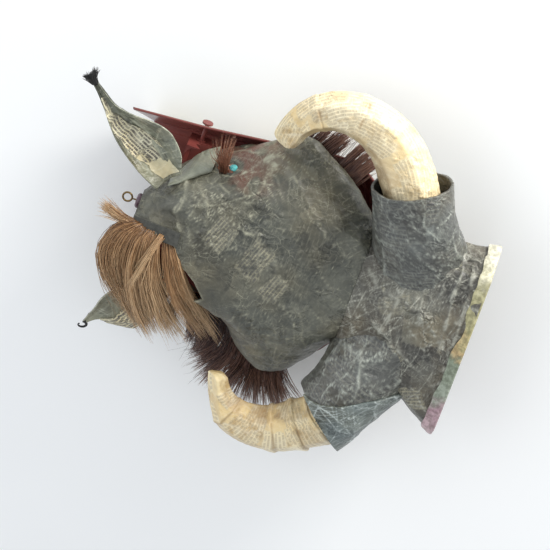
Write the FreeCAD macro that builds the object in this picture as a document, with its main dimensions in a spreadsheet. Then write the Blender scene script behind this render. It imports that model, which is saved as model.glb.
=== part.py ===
import FreeCAD, Part
import math
import os

from FreeCAD import Placement, Rotation, Vector

# A warthog-head hand puppet in papier-mache over card, with a mouth that opens.
# +X runs to the snout, +Y to the animal's left, +Z up. The origin is on the middle of the jaw's flat floor.
# All sizes are millimetres. Heights in the station tables are measured down from the crown.

doc = FreeCAD.newDocument("warthog_puppet")

# ---------------------------------------------------------------- driving dimensions

DIMENSIONS = {
    "crown_height": 110,
    "rim_height": 46,
    "wall": 3,
    "lining": 0.8,
    "card": 2.5,
    "snout_front": 209,
    "snout_half_width": 92,
    "cheek_half_width": 118,
    "jaw_rear": -144,
    "wrist_notch": 32,
    "floor_inset": 24,
    "socket_radius": 37,
    "tusk_radius": 26,
    "tusk_level": 94,
    "crossbar_radius": 5,
    "hinge_x": -78,
    "hinge_height": 38,
    "pin_radius": 2,
    "pin_clearance": 0.06,
    "block_outer": 66.5,
    "bead_radius": 4,
    "eye_ring_radius": 4.3,
    "eye_wire": 0.9,
    "shank_radius": 0.7,
    "stub_radius": 7,
    "strap_width": 28,
    "strap_thick": 1.6,
    "former_thick": 6,
}

sheet = doc.addObject("Spreadsheet::Sheet", "dimensions")
for row, (alias, value) in enumerate(DIMENSIONS.items(), start=1):
    sheet.set(f"A{row}", alias)
    sheet.set(f"B{row}", str(value))
    sheet.setAlias(f"B{row}", alias)
doc.recompute()


def size(alias):
    return float(getattr(sheet, alias))


CROWN = size("crown_height")
WALL = size("wall")
LINING = size("lining")
CARD = size("card")
CHEEK = size("cheek_half_width")
SNOUT_FRONT = size("snout_front")
SNOUT_HALF = size("snout_half_width")
TUSK_LEVEL = size("tusk_level")
HINGE_X = size("hinge_x")
HINGE_Z = size("hinge_height")

subparts = []


def named(label, thing):
    thing.Label = label
    subparts.append(thing)
    return thing


def solid_feature(label, shape):
    feature = doc.addObject("Part::Feature", label)
    feature.Shape = shape
    return named(label, feature)


# ---------------------------------------------------------------- geometry helpers


def inset_loop(loop, distances):
    """Moves each edge of a closed (y, z) polygon inwards by its own distance."""
    count = len(loop)
    lines = []
    for i in range(count):
        (ay, az), (by, bz) = loop[i], loop[(i + 1) % count]
        length = math.hypot(by - ay, bz - az)
        dy, dz = (by - ay) / length, (bz - az) / length
        lines.append((ay - dz * distances[i], az + dy * distances[i], dy, dz))
    moved = []
    for i in range(count):
        py, pz, dy, dz = lines[i - 1]
        qy, qz, ey, ez = lines[i]
        along = ((qy - py) * ez - (qz - pz) * ey) / (dy * ez - dz * ey)
        moved.append((py + dy * along, pz + dz * along))
    return moved


def polygon(points):
    return Part.makePolygon(list(points) + [points[0]])


def section(x, loop):
    return polygon([Vector(x, y, CROWN + z) for y, z in loop])


def skin(wires):
    return Part.makeLoft(wires, True, True)


# ---------------------------------------------------------------- head and snout shells

# x, crown drop, shoulder half-width, left and right cheek half-width, cheek drop,
# left and right hem half-width, hem drop
HEAD_STATIONS = [
    (-111, 2, 8, 20, 20, 18, 22, 22, 26),
    (-85, 0, 32, 60, 58, 42, 65, 64, 66),
    (-45, -2, 46, 75, 68, 46, 77, 75, 69),
    (-12, -2, 54, 0.89 * CHEEK, 0.66 * CHEEK, 45, 92, 82, 62),
    (18, 0, 60, 1.00 * CHEEK, 0.88 * CHEEK, 45, 100, 95, 60),
    (42, 1, 60, 0.88 * CHEEK, 1.00 * CHEEK, 45, 96, 101, 60),
    (68, 3, 54, 0.75 * CHEEK, 0.88 * CHEEK, 44, 82, 88, 59),
    (97, 6, 40, 58, 60, 42, 56, 58, 58),
]
SNOUT_STATIONS = [
    (97, 6, 40, 58, 60, 42, 56, 58, 58),
    (135, 4, 48, 0.72 * SNOUT_HALF, 0.72 * SNOUT_HALF, 36, 60, 60, 58),
    (175, 1, 62, 0.82 * SNOUT_HALF, 0.82 * SNOUT_HALF, 32, 68, 68, 58),
    (SNOUT_FRONT, -3, 72, SNOUT_HALF, SNOUT_HALF, 28, 78, 78, 58),
]
SHOULDER_DROP = 6
BELOW_HEM = 8


def station_loop(station):
    """One cross-section: left hem, over the crown to the right hem, then back along the hem."""
    x, crown, shoulder, left, right, cheek_drop, left_hem, right_hem, hem_drop = station
    shoulder_z = -crown - SHOULDER_DROP
    middle_z = (shoulder_z - cheek_drop) / 2 + 2
    return [
        (left_hem, -hem_drop),
        (left, -cheek_drop),
        (0.45 * shoulder + 0.55 * left, middle_z),
        (shoulder, shoulder_z),
        (0, -crown),
        (-shoulder, shoulder_z),
        (-0.45 * shoulder - 0.55 * right, middle_z),
        (-right, -cheek_drop),
        (-right_hem, -hem_drop),
    ]


def station_wires(stations, inset=0.0, hem=0.0, past_ends=0.0):
    wires = []
    loops = []
    for station in stations:
        loop = station_loop(station)
        distances = [inset] * (len(loop) - 1) + [hem]
        loops.append(inset_loop(loop, distances) if inset or hem else loop)
    if past_ends:
        wires.append(section(stations[0][0] - past_ends, loops[0]))
    for station, loop in zip(stations, loops):
        wires.append(section(station[0], loop))
    if past_ends:
        wires.append(section(stations[-1][0] + past_ends, loops[-1]))
    return wires


head_outer = skin(station_wires(HEAD_STATIONS))
head_inner = skin(station_wires(HEAD_STATIONS, WALL, -BELOW_HEM, 2))
head_proud = skin(station_wires(HEAD_STATIONS, -1.4, 0.01))
snout_outer = skin(station_wires(SNOUT_STATIONS))
snout_inner = skin(station_wires(SNOUT_STATIONS, WALL, WALL, 2))
snout_proud = skin(station_wires(SNOUT_STATIONS, -0.9, -0.9))

crossbar_x = 122
crossbar_end = 100
crossbar_axis = Part.makeCylinder(
    size("crossbar_radius"), 2 * crossbar_end, Vector(crossbar_x, -crossbar_end, TUSK_LEVEL), Vector(0, 1, 0)
)

# The crown stops short on the right at the back, where the mane hangs over the gap. A low band of wall stays.
GAP_OUTLINE = [(-130, -3), (-72, -3), (-58, -24), (-40, -36), (-28, -50), (-40, -64), (-130, -64)]
GAP_FLOOR = 62
gap_face = Part.Face(polygon([Vector(x, y, GAP_FLOOR) for x, y in GAP_OUTLINE]))
mane_gap = gap_face.extrude(Vector(0, 0, 100))

SIDES = {"left": 1, "right": -1}
EYE_SPOT = {"left": Vector(-41, 67.5, CROWN - 33), "right": Vector(-41, -63, CROWN - 33)}
EYE_FACING = Vector(0, 0.9, 0.42)
BEAD_STANDOFF = 2


def eye_facing(side):
    return Vector(EYE_FACING.x, SIDES[side] * EYE_FACING.y, EYE_FACING.z).normalize()


head_shape = head_outer.cut(head_inner).cut(mane_gap)
for side in SIDES:
    bead_centre = EYE_SPOT[side] + eye_facing(side) * BEAD_STANDOFF
    head_shape = head_shape.cut(Part.makeSphere(size("bead_radius"), bead_centre))
solid_feature("head_shell", head_shape)
snout_shape = snout_outer.cut(snout_inner).cut(crossbar_axis)
solid_feature("snout_shell", snout_shape)

rim_width = 13
rim_slab = Part.makeBox(rim_width, 400, 400, Vector(SNOUT_FRONT - rim_width, -200, 0))
solid_feature("snout_rim", snout_proud.common(rim_slab).cut(snout_outer))

# ---------------------------------------------------------------- nose board, palate and rear former


def origin_plane(body, role):
    for feature in body.Origin.OriginFeatures:
        if feature.Role == role:
            return feature
    raise ValueError(role)


def sketch_on(body, role, name, points):
    sketch = body.newObject("Sketcher::SketchObject", name)
    sketch.AttachmentSupport = [(origin_plane(body, role), "")]
    sketch.MapMode = "FlatFace"
    for i, start in enumerate(points):
        end = points[(i + 1) % len(points)]
        sketch.addGeometry(Part.LineSegment(Vector(*start, 0), Vector(*end, 0)), False)
    return sketch


def padded_body(label, role, points, thickness):
    """A flat board: a sketch padded by a thickness that is an expression of the sheet."""
    body = named(label, doc.addObject("PartDesign::Body", label))
    sketch = sketch_on(body, role, label + "_outline", points)
    pad = body.newObject("PartDesign::Pad", label + "_pad")
    pad.Profile = sketch
    pad.setExpression("Length", thickness)
    body.Tip = pad
    return body


def round_points(radius_y, radius_z, centre_y, centre_z, count=20):
    turns = [2 * math.pi * k / count for k in range(count)]
    return [(centre_y + radius_y * math.cos(a), centre_z + radius_z * math.sin(a)) for a in turns]


nose_x = SNOUT_FRONT - 5
nostrils = []
for side in (-1, 1):
    wire = section(nose_x - 3, round_points(12, 8, side * 30, -30))
    nostrils.append(Part.Face(wire).extrude(Vector(12, 0, 0)))
nose_slab = Part.makeBox(CARD, 400, 400, Vector(nose_x, -200, 0))
nose_board = snout_inner.common(nose_slab)
for nostril in nostrils:
    nose_board = nose_board.cut(nostril)
solid_feature("nose_board", nose_board)

palate_slab = Part.makeBox(117, 400, CARD, Vector(-20, -200, CROWN - 57))
solid_feature("palate_board", head_inner.common(palate_slab))

PALATE_OUTLINE = [
    (-20, 72), (20, 90), (44, 88), (70, 76), (96, 52), (150, 58), (196, 68),
    (196, -68), (150, -58), (96, -52), (70, -80), (44, -92), (20, -84), (-20, -70),
]
palate_lining = padded_body("palate_lining", "XY_Plane", PALATE_OUTLINE, "dimensions.lining")
palate_lining.Placement.Base = Vector(0, 0, CROWN - 58 - LINING)

former_thick = size("former_thick")
former_x = -98
former_slab = Part.makeBox(former_thick, 400, 60, Vector(former_x, -200, CROWN - 53))
eye_y = 10
eye_level = CROWN - 26
stub_length = 17
stub_end_x = former_x - stub_length
shank_tip_x = stub_end_x + 8
REARWARD = Vector(-1, 0, 0)
shank_tip = Vector(shank_tip_x, eye_y, eye_level)
shank_hole = Part.makeCylinder(size("shank_radius"), 40, shank_tip, REARWARD)
solid_feature("rear_former", head_inner.common(former_slab).cut(mane_gap))

stub_root = Vector(former_x, eye_y, eye_level)
stub = Part.makeCylinder(size("stub_radius"), stub_length, stub_root, REARWARD)
stub_edge = [edge for edge in stub.Edges if edge.BoundBox.XMax < stub_end_x + 1]
solid_feature("crest_stub", stub.makeFillet(2.5, stub_edge).cut(shank_hole))

# ---------------------------------------------------------------- screw eye

ring_radius = size("eye_ring_radius")
shank_length = 12
ring = doc.addObject("Part::Torus", "eye_ring")
ring.setExpression("Radius1", "dimensions.eye_ring_radius")
ring.setExpression("Radius2", "dimensions.eye_wire")
ring.Placement = Placement(Vector(shank_tip_x - shank_length - ring_radius, eye_y, eye_level), Rotation())
shank = doc.addObject("Part::Cylinder", "eye_shank")
shank.setExpression("Radius", "dimensions.shank_radius")
shank.Height = shank_length + 0.3
shank.Placement = Placement(shank_tip, Rotation(Vector(0, 1, 0), -90))
eye = doc.addObject("Part::Fuse", "screw_eye")
eye.Base = ring
eye.Tool = shank
named("screw_eye", eye)

# ---------------------------------------------------------------- tusks and their sockets


def ring_section(centre, along, radius, sides, squash=1.0):
    """A polygon of so many sides round a centre, square to the direction along, with +Z as its upright."""
    up = Vector(0, 0, 1)
    across = up.cross(along)
    across.normalize()
    upright = along.cross(across)
    upright.normalize()
    points = []
    for k in range(sides):
        turn = 2 * math.pi * (k + 0.5) / sides
        sideways = across * (radius * math.cos(turn))
        points.append(centre + sideways + upright * (squash * radius * math.sin(turn)))
    return polygon(points)


def tube(centres, radii, sides, squash=1.0):
    wires = []
    for i, centre in enumerate(centres):
        before = centres[max(i - 1, 0)]
        after = centres[min(i + 1, len(centres) - 1)]
        wires.append(ring_section(centre, (after - before).normalize(), radii[i], sides, squash))
    return skin(wires)


# The middle line of each tusk, out from the crossbar's end and round towards the cheek.
TUSK_LINES = {
    "left": [
        (crossbar_x, crossbar_end), (109, 124), (89, 149), (64, 163),
        (37, 165), (14, 155), (0, 138), (-8, 116),
    ],
    "right": [
        (crossbar_x, -crossbar_end), (112, -126), (95, -141), (72, -155),
        (48, -159), (26, -153), (11, -139), (5, -122),
    ],
}
TUSK_TAPER = [0.98, 1.0, 0.96, 0.88, 0.78, 0.66, 0.54, 0.43]
TUSK_SIDES = 10
TUSK_SQUASH = 0.92
SOCKET_SIDES = 16
SOCKET_SQUASH = 0.8
# Each socket's middle line, from its root inside the snout to its rim.
SOCKET_LINES = {
    "left": [(144, 44, CROWN - 22), (129, 84, CROWN - 17), (114, 122, CROWN - 12)],
    "right": [(140, -44, CROWN - 22), (126, -84, CROWN - 17), (109, -121, CROWN - 12)],
}
SOCKET_TAPER = [1.2, 1.04, 1.0]
socket_radius = size("socket_radius")
tusk_radius = size("tusk_radius")

for side in SIDES:
    line = [Vector(x, y, TUSK_LEVEL) for x, y in TUSK_LINES[side]]
    radii = [tusk_radius * share for share in TUSK_TAPER]
    tusk_outer = tube(line, radii, TUSK_SIDES, TUSK_SQUASH)
    tusk_core = tube(line[:-1], [radius - WALL for radius in radii[:-1]], TUSK_SIDES, TUSK_SQUASH)
    socket_line = [Vector(*point) for point in SOCKET_LINES[side]]
    socket_radii = [socket_radius * share for share in SOCKET_TAPER]
    socket_outer = tube(socket_line, socket_radii, SOCKET_SIDES, SOCKET_SQUASH)
    past_rim = socket_line[-1] + (socket_line[-1] - socket_line[-2]) * 0.3
    bore_radii = [radius - WALL for radius in socket_radii + socket_radii[-1:]]
    socket_bore = tube(socket_line + [past_rim], bore_radii, SOCKET_SIDES, SOCKET_SQUASH)
    socket = socket_outer.cut(socket_bore).cut(snout_outer).cut(head_outer).cut(tusk_outer)
    solid_feature(side + "_tusk_socket", max(socket.Solids, key=lambda piece: piece.Volume))
    solid_feature(side + "_tusk", tusk_outer.cut(tusk_core).cut(crossbar_axis))
    solid_feature(side + "_tusk_core", tusk_core.cut(crossbar_axis))

crossbar = doc.addObject("Part::Cylinder", "tusk_crossbar")
crossbar.setExpression("Radius", "dimensions.crossbar_radius")
crossbar.Height = 2 * crossbar_end
crossbar.Placement = Placement(Vector(crossbar_x, -crossbar_end, TUSK_LEVEL), Rotation(Vector(1, 0, 0), -90))
named("tusk_crossbar", crossbar)

# ---------------------------------------------------------------- ears

EAR_CARD = 1.8
EAR_STRIP = 0.8
STRIP_HALF = 9
# Share of the ear's length, half-width, depth of the cup.
EAR_SECTIONS = [(0, 15, 6), (0.2, 23, 10), (0.45, 28, 13), (0.68, 21, 9), (0.86, 8, 4), (1.0, 2.5, 1)]
# Root, tip, and a direction that the cup faces.
EARS = {
    "left": (Vector(-92, 44, CROWN - 12), Vector(-184, 118, CROWN + 2), Vector(0.35, -0.1, 1)),
    "right": (Vector(-79, -50, CROWN - 16), Vector(-124, -136, CROWN - 52), Vector(0.45, 0.1, 1)),
}


def ear_frame(side):
    root, tip, facing = EARS[side]
    along = (tip - root).normalize()
    normal = (facing - along * facing.dot(along)).normalize()
    return root, tip, along, normal, normal.cross(along)


def cup_sag(y, half, depth):
    """Height of the cup's four-sided hollow at a distance from its middle."""
    share = abs(y) / half
    if share < 0.5:
        return depth * (0.5 * share - 1)
    return depth * (1.5 * share - 1.5)


def ear_sheet(side, sections, half_width, low, high):
    """A cupped sheet between two heights over the ear's own middle surface."""
    root, tip, along, normal, across = ear_frame(side)
    wires = []
    for share, half, depth in sections:
        centre = root + (tip - root) * share
        reach = min(half, half_width)
        steps = [-reach, -0.5 * reach, 0, 0.5 * reach, reach]
        sag = [cup_sag(y, half, depth) for y in steps]
        lower = [centre + across * y + normal * (drop + low) for y, drop in zip(steps, sag)]
        upper = [centre + across * y + normal * (drop + high) for y, drop in zip(steps, sag)]
        wires.append(polygon(lower + upper[::-1]))
    return skin(wires)


ears = {}
for side in SIDES:
    ear = ear_sheet(side, EAR_SECTIONS, 99, 0, EAR_CARD)
    ears[side] = max(ear.cut(head_outer).Solids, key=lambda piece: piece.Volume)
    solid_feature(side + "_ear", ears[side])
    strip = ear_sheet(side, EAR_SECTIONS[1:5], STRIP_HALF, EAR_CARD, EAR_CARD + EAR_STRIP)
    solid_feature(side + "_ear_lining", strip.cut(head_outer).cut(ear))

knob_radius = 4.5
left_tip = EARS["left"][1]
knob = doc.addObject("Part::Sphere", "left_ear_tassel")
knob.Radius = knob_radius
knob.Placement = Placement(left_tip + ear_frame("left")[2] * knob_radius, Rotation())
named("left_ear_tassel", knob)

curl_radius = 5
curl_wire = 1.3
right_tip = EARS["right"][1]
curl = doc.addObject("Part::Torus", "right_ear_curl")
curl.Radius1 = curl_radius
curl.Radius2 = curl_wire
curl.Placement = Placement(right_tip + ear_frame("right")[2] * (curl_radius + curl_wire), Rotation())
named("right_ear_curl", curl)

# ---------------------------------------------------------------- temples, eyes and lashes

socket_depth = 9
temples = {}
eye_socket_radius = 9

for side, sign in SIDES.items():
    temple_box = Part.makeBox(30, 60, 70, Vector(-88, 34 if sign > 0 else -94, CROWN - 62))
    temple = head_proud.common(temple_box).cut(head_outer).cut(ears[side]).cut(mane_gap)
    temples[side] = max(temple.Solids, key=lambda piece: piece.Volume)
    solid_feature(side + "_temple_flap", temples[side])

    facing = eye_facing(side)
    spot = EYE_SPOT[side]
    cup = Part.makeCylinder(eye_socket_radius, socket_depth, spot - facing * (socket_depth - 2), facing)
    bead_centre = spot + facing * BEAD_STANDOFF
    bead_room = Part.makeSphere(size("bead_radius"), bead_centre)
    solid_feature(side + "_eye_socket", cup.cut(head_outer).cut(bead_room))

    bead = doc.addObject("Part::Sphere", side + "_eye_bead")
    bead.setExpression("Radius", "dimensions.bead_radius")
    bead.Placement = Placement(bead_centre, Rotation())
    named(side + "_eye_bead", bead)

    tuft_root = spot + Vector(-9, sign * 2, 9)
    tuft_tip = spot + Vector(-20, sign * 36, 8)
    tuft_line = [tuft_root - Vector(0, sign * 4, 0), tuft_root, (tuft_root + tuft_tip) / 2, tuft_tip]
    tuft = tube(tuft_line, [4, 5, 8, 3], 8, 0.5)
    solid_feature(side + "_lash_tuft", tuft.cut(head_proud).cut(cup))

# ---------------------------------------------------------------- mane and whiskers


def slab_section(y, x_low, x_high, z_low, z_high):
    """A flat six-sided section at one y, which stands for a thickness of hair."""
    middle = (z_low + z_high) / 2
    outline = [
        (x_low, middle), (x_low + 8, z_low), (x_high - 8, z_low),
        (x_high, middle), (x_high - 8, z_high), (x_low + 8, z_high),
    ]
    return polygon([Vector(x, y, CROWN + z) for x, z in outline])


strip_half = 7
strip_base = -12
strip_wires = []
for x, top in ((-110, 1), (-66, 4)):
    corners = [(-strip_half, strip_base), (strip_half, strip_base), (strip_half, top), (-strip_half, top)]
    strip_wires.append(section(x, corners))
strip_slab = skin(strip_wires)
mane_strip = max(strip_slab.cut(head_outer).Solids, key=lambda piece: piece.Volume)
solid_feature("mane_strip", mane_strip)

# y, then the hair's reach in x and in height there
MANE_SECTIONS = [
    (2, -108, -66, 5, 11), (-34, -128, -52, 5, 18), (-70, -130, -42, -6, 8), (-112, -104, -52, -20, -10),
]
mane = skin([slab_section(*row) for row in MANE_SECTIONS])
mane = mane.cut(strip_slab).cut(head_outer)
solid_feature("mane_hair", max(mane.Solids, key=lambda piece: piece.Volume))

WHISKER_REACH = {"left": 130, "right": 158}
for side, sign in SIDES.items():
    reach = WHISKER_REACH[side]
    fan = skin([
        slab_section(sign * 88, -8, 66, -57, -50),
        slab_section(sign * 110, -14, 74, -59, -51),
        slab_section(sign * reach, -24, 84, -66, -61),
    ])
    fan = fan.cut(head_outer).cut(head_inner)
    solid_feature(side + "_whiskers", max(fan.Solids, key=lambda piece: piece.Volume))

# ---------------------------------------------------------------- straps


def strap_sheet(chain, thickness, width, x_start):
    """A band bent along a (y, z) chain, swept along x."""
    upper = [(y, z + thickness) for y, z in chain]
    wire = polygon([Vector(x_start, y, z) for y, z in chain + upper[::-1]])
    return Part.Face(wire).extrude(Vector(width, 0, 0))


strap_thick = size("strap_thick")
strap_width = size("strap_width")
finger_chain = [(-62, CROWN - 4), (-48, CROWN - 34), (48, CROWN - 34), (62, CROWN - 4)]
finger_strap = strap_sheet(finger_chain, strap_thick, strap_width, -24).common(head_inner)
solid_feature("finger_strap", finger_strap)

floor = CARD
thumb_floor = floor + LINING
thumb_chain = [
    (-44, thumb_floor), (-32, thumb_floor), (-25, 26), (25, 26), (32, thumb_floor), (44, thumb_floor),
]
solid_feature("thumb_strap", strap_sheet(thumb_chain, strap_thick, strap_width, -46))

# ---------------------------------------------------------------- jaw

RIM_OUTLINE = [
    (-190, 74), (-70, 86), (-15, 94), (25, 102), (64, 104),
    (88, 88), (104, 62), (150, 55), (174, 40), (184, 16),
]
FLOOR_INSET = size("floor_inset")
RIM = size("rim_height")


def jaw_loop(inset, z):
    """The jaw's plan outline, both sides, brought in by an inset."""
    left = RIM_OUTLINE
    right = [(x, -y) for x, y in reversed(RIM_OUTLINE)]
    loop = inset_loop(left + right, [-inset] * (2 * len(left)))
    return [Vector(x, y, z) for x, y in loop]


def jaw_solid(inset, low, high):
    slope = FLOOR_INSET / RIM
    wires = [polygon(jaw_loop(inset + slope * (RIM - z), z)) for z in (low, high)]
    return skin(wires)


notch = size("wrist_notch")
jaw_rear = size("jaw_rear")
half_chord = 77
notch_radius = (half_chord ** 2 + notch ** 2) / (2 * notch)
wrist = Part.makeCylinder(notch_radius, 200, Vector(jaw_rear + notch - notch_radius, 0, -50))
behind = Part.makeBox(60, 400, 200, Vector(jaw_rear - 60, -200, -50))

pin_radius = size("pin_radius")
pin_bore = Part.makeCylinder(pin_radius, 240, Vector(HINGE_X, -120, HINGE_Z), Vector(0, 1, 0))
jaw_outer = jaw_solid(0, 0, RIM)
jaw_hollow = jaw_solid(WALL, floor, RIM + 2)
jaw_shape = jaw_outer.cut(jaw_hollow).cut(wrist).cut(behind).cut(pin_bore)
solid_feature("jaw_shell", jaw_shape)
lining_hollow = jaw_solid(WALL + LINING, thumb_floor, RIM + 2)
lining_trim = Part.makeBox(500, 400, RIM - 1, Vector(-200, -200, 0))
jaw_lining = jaw_hollow.common(lining_trim).cut(lining_hollow)
jaw_lining = jaw_lining.cut(wrist).cut(behind).cut(pin_bore)
solid_feature("jaw_lining", jaw_lining)

# ---------------------------------------------------------------- mouth hinge

block_outer = size("block_outer")
block_depth = 20
block_size = 22
bore_radius = pin_radius + size("pin_clearance")
pin_start_y = 52
pin_head_y = 84.4
for side, sign in SIDES.items():
    block = doc.addObject("Part::Box", side + "_block_blank")
    block.Length = block_size
    block.Width = block_depth
    block.Height = block_size + 8
    y_low = block_outer - block_depth if sign > 0 else -block_outer
    block.Placement = Placement(Vector(HINGE_X - block_size / 2, y_low, HINGE_Z - block_size / 2), Rotation())
    bore = Part.makeCylinder(bore_radius, 60, Vector(HINGE_X, sign * 40, HINGE_Z), Vector(0, sign, 0))
    doc.recompute()
    solid_feature(side + "_hinge_block", block.Shape.cut(bore).cut(head_outer).cut(temples[side]))

pins = []
washers = []
washer_radius = 4.2
for sign in (1, -1):
    outward = Vector(0, sign, 0)
    shank_start = Vector(HINGE_X, sign * pin_start_y, HINGE_Z)
    pin = Part.makeCylinder(pin_radius, pin_head_y - pin_start_y, shank_start, outward)
    pin_head = Part.makeCylinder(5, 1.6, Vector(HINGE_X, sign * pin_head_y, HINGE_Z), outward)
    pins.append(pin.fuse(pin_head))
    washer_start = Vector(HINGE_X, sign * (block_outer + 0.3), HINGE_Z)
    washer = Part.makeCylinder(washer_radius, 1.0, washer_start, outward)
    washers.append(washer.cut(pin_bore))
solid_feature("hinge_pins", Part.makeCompound(pins))
solid_feature("hinge_washers", Part.makeCompound(washers))

# ---------------------------------------------------------------- checks and files

doc.recompute()
for item in doc.Objects:
    if "Invalid" in item.State or "Error" in item.State:
        raise RuntimeError(f"{item.Label} failed: {item.State}")
os.makedirs("parts", exist_ok=True)
for item in subparts:
    shape = item.Shape
    if shape.isNull() or not shape.isValid() or shape.Volume <= 0:
        raise RuntimeError(f"{item.Label} has no valid shape")
    shape.exportStep(f"parts/{item.Label}.step")
    print(item.Label, len(shape.Solids), round(shape.Volume))
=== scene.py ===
import math
import random

import bpy
import numpy as np
from mathutils import Matrix, Vector


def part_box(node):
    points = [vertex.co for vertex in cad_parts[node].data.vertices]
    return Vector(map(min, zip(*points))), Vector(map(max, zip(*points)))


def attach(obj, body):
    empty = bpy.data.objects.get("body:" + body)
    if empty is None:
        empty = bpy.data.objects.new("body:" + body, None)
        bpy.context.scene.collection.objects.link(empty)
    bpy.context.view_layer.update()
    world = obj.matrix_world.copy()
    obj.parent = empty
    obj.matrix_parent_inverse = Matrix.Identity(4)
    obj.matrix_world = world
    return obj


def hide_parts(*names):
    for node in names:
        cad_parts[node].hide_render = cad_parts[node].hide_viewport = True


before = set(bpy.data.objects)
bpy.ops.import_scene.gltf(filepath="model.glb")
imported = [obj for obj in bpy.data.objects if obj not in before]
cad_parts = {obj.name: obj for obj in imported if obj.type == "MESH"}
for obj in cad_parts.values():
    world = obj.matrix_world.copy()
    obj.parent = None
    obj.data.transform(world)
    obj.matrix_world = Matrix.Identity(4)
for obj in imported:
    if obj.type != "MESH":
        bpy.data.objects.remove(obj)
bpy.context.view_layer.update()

# A warthog-head hand puppet in papier-mache. Row frame: +X to the snout, +Y to its left, +Z up, metres.
# Shapes are worked out in millimetres, in the same frame, and scaled once when a mesh is made.

MM = 0.001
CROWN = 110.0
RIM = 46.0


# ---------------------------------------------------------------- camera, light and floor

TILT = math.radians(25)
TURN = math.radians(20)
SCENE_WIDTH = 0.495
CAMERA_DISTANCE = 4.0
SENSOR = 36.0


def photo_axes():
    """Right, up and towards-camera directions of the view: down on the crown, from a little to its left."""
    forward = Vector((1, 0, 0))
    leftward = Vector((0, math.cos(TILT), -math.sin(TILT)))
    right = forward * math.cos(TURN) + leftward * math.sin(TURN)
    up = leftward * math.cos(TURN) - forward * math.sin(TURN)
    return right, up, right.cross(up)


def make_camera():
    right, up, back = photo_axes()
    target = Vector((0, 0, CROWN * MM)) + right * 0.0243 - up * 0.0099
    data = bpy.data.cameras.new("camera")
    data.sensor_width = SENSOR
    data.lens = SENSOR * CAMERA_DISTANCE / SCENE_WIDTH
    data.clip_end = 20
    camera = bpy.data.objects.new("camera", data)
    bpy.context.collection.objects.link(camera)
    turn = Matrix((right, up, back)).transposed().to_4x4()
    camera.matrix_world = Matrix.Translation(target + back * CAMERA_DISTANCE) @ turn
    bpy.context.scene.camera = camera


def area_light(name, towards, distance, size, power, colour):
    data = bpy.data.lights.new(name, "AREA")
    data.size = size
    data.energy = power
    data.color = colour
    light = bpy.data.objects.new(name, data)
    bpy.context.collection.objects.link(light)
    place = Vector((0.03, 0, 0.06)) + towards.normalized() * distance
    light.location = place
    light.rotation_euler = (place - Vector((0.03, 0, 0.06))).to_track_quat("Z", "Y").to_euler()


def make_light():
    right, up, back = photo_axes()
    area_light("key", right * 0.85 + up * 0.6 + back * 0.6, 1.5, 0.6, 30, (1.0, 0.985, 0.95))
    area_light("fill", -right * 0.8 + up * 0.1 + back * 0.9, 1.8, 1.4, 9, (0.92, 0.96, 1.0))
    world = bpy.data.worlds.new("studio")
    world.use_nodes = True
    world.node_tree.nodes["Background"].inputs["Color"].default_value = (0.93, 0.96, 1.0, 1)
    world.node_tree.nodes["Background"].inputs["Strength"].default_value = 0.76
    bpy.context.scene.world = world
    bpy.context.scene.view_settings.view_transform = "Standard"


def make_floor():
    mesh = bpy.data.meshes.new("floor")
    reach = 6.0
    corners = [(-reach, -reach, 0), (reach, -reach, 0), (reach, reach, 0), (-reach, reach, 0)]
    mesh.from_pydata(corners, [], [(0, 1, 2, 3)])
    floor = bpy.data.objects.new("floor", mesh)
    bpy.context.collection.objects.link(floor)
    material = bpy.data.materials.new("floor_paper")
    material.use_nodes = True
    shader = material.node_tree.nodes["Principled BSDF"]
    shader.inputs["Base Color"].default_value = (0.93, 0.935, 0.93, 1)
    shader.inputs["Roughness"].default_value = 0.9
    mesh.materials.append(material)


# ---------------------------------------------------------------- noise and splines, on arrays of millimetres


def cell_random(x, y, z, seed):
    """The same value from 0 to 1 each time for a cell, by multiplying and folding its whole numbers."""
    n = x * 374761393 + y * 668265263 + z * 1274126177 + seed * 974634777
    n = (n ^ (n >> 13)) & 0xFFFFFFFF
    n = (n * 1103515245 + 12345) & 0xFFFFFFFF
    n = ((n ^ (n >> 15)) * 2246822519) & 0xFFFFFFFF
    return ((n ^ (n >> 16)) & 0xFFFFFF) / float(0xFFFFFF)


def noise(points, scale, seed):
    """Smooth value noise from 0 to 1, with cells of the given size."""
    p = np.asarray(points, float) / scale
    base = np.floor(p).astype(np.int64)
    f = p - base
    f = f * f * (3 - 2 * f)
    total = 0.0
    for dx in (0, 1):
        for dy in (0, 1):
            for dz in (0, 1):
                weight = np.abs(1 - dx - f[..., 0]) * np.abs(1 - dy - f[..., 1])
                weight = weight * np.abs(1 - dz - f[..., 2])
                corner = cell_random(base[..., 0] + dx, base[..., 1] + dy, base[..., 2] + dz, seed)
                total = total + weight * corner
    return total


def layered_noise(points, scale, seed, octaves=3):
    total, weight = 0.0, 0.0
    for k in range(octaves):
        total = total + noise(points, scale / 2 ** k, seed + k) / 2 ** k
        weight += 0.5 ** k
    return total / weight


def spline(points, places, closed=False):
    """Catmull-Rom through points along the first axis, at places from 0 to 1."""
    points = np.asarray(points, float)
    count = len(points)
    spans = count if closed else count - 1
    along = np.clip(np.asarray(places) * spans, 0, spans - 1e-9)
    i = np.floor(along).astype(int)
    f = (along - i).reshape((-1,) + (1,) * (points.ndim - 1))

    def at(k):
        return points[k % count] if closed else points[np.clip(k, 0, count - 1)]

    a, b, c, d = at(i - 1), at(i), at(i + 1), at(i + 2)
    squared, cubed = 2 * a - 5 * b + 4 * c - d, 3 * b - a - 3 * c + d
    return 0.5 * (2 * b + (c - a) * f + squared * f ** 2 + cubed * f ** 3)


def grid_normals(grid, wrap=False):
    along = np.gradient(grid, axis=0)
    across = np.roll(grid, -1, axis=1) - np.roll(grid, 1, axis=1) if wrap else np.gradient(grid, axis=1)
    normal = np.cross(along, across)
    return unit_rows(normal)


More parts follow.
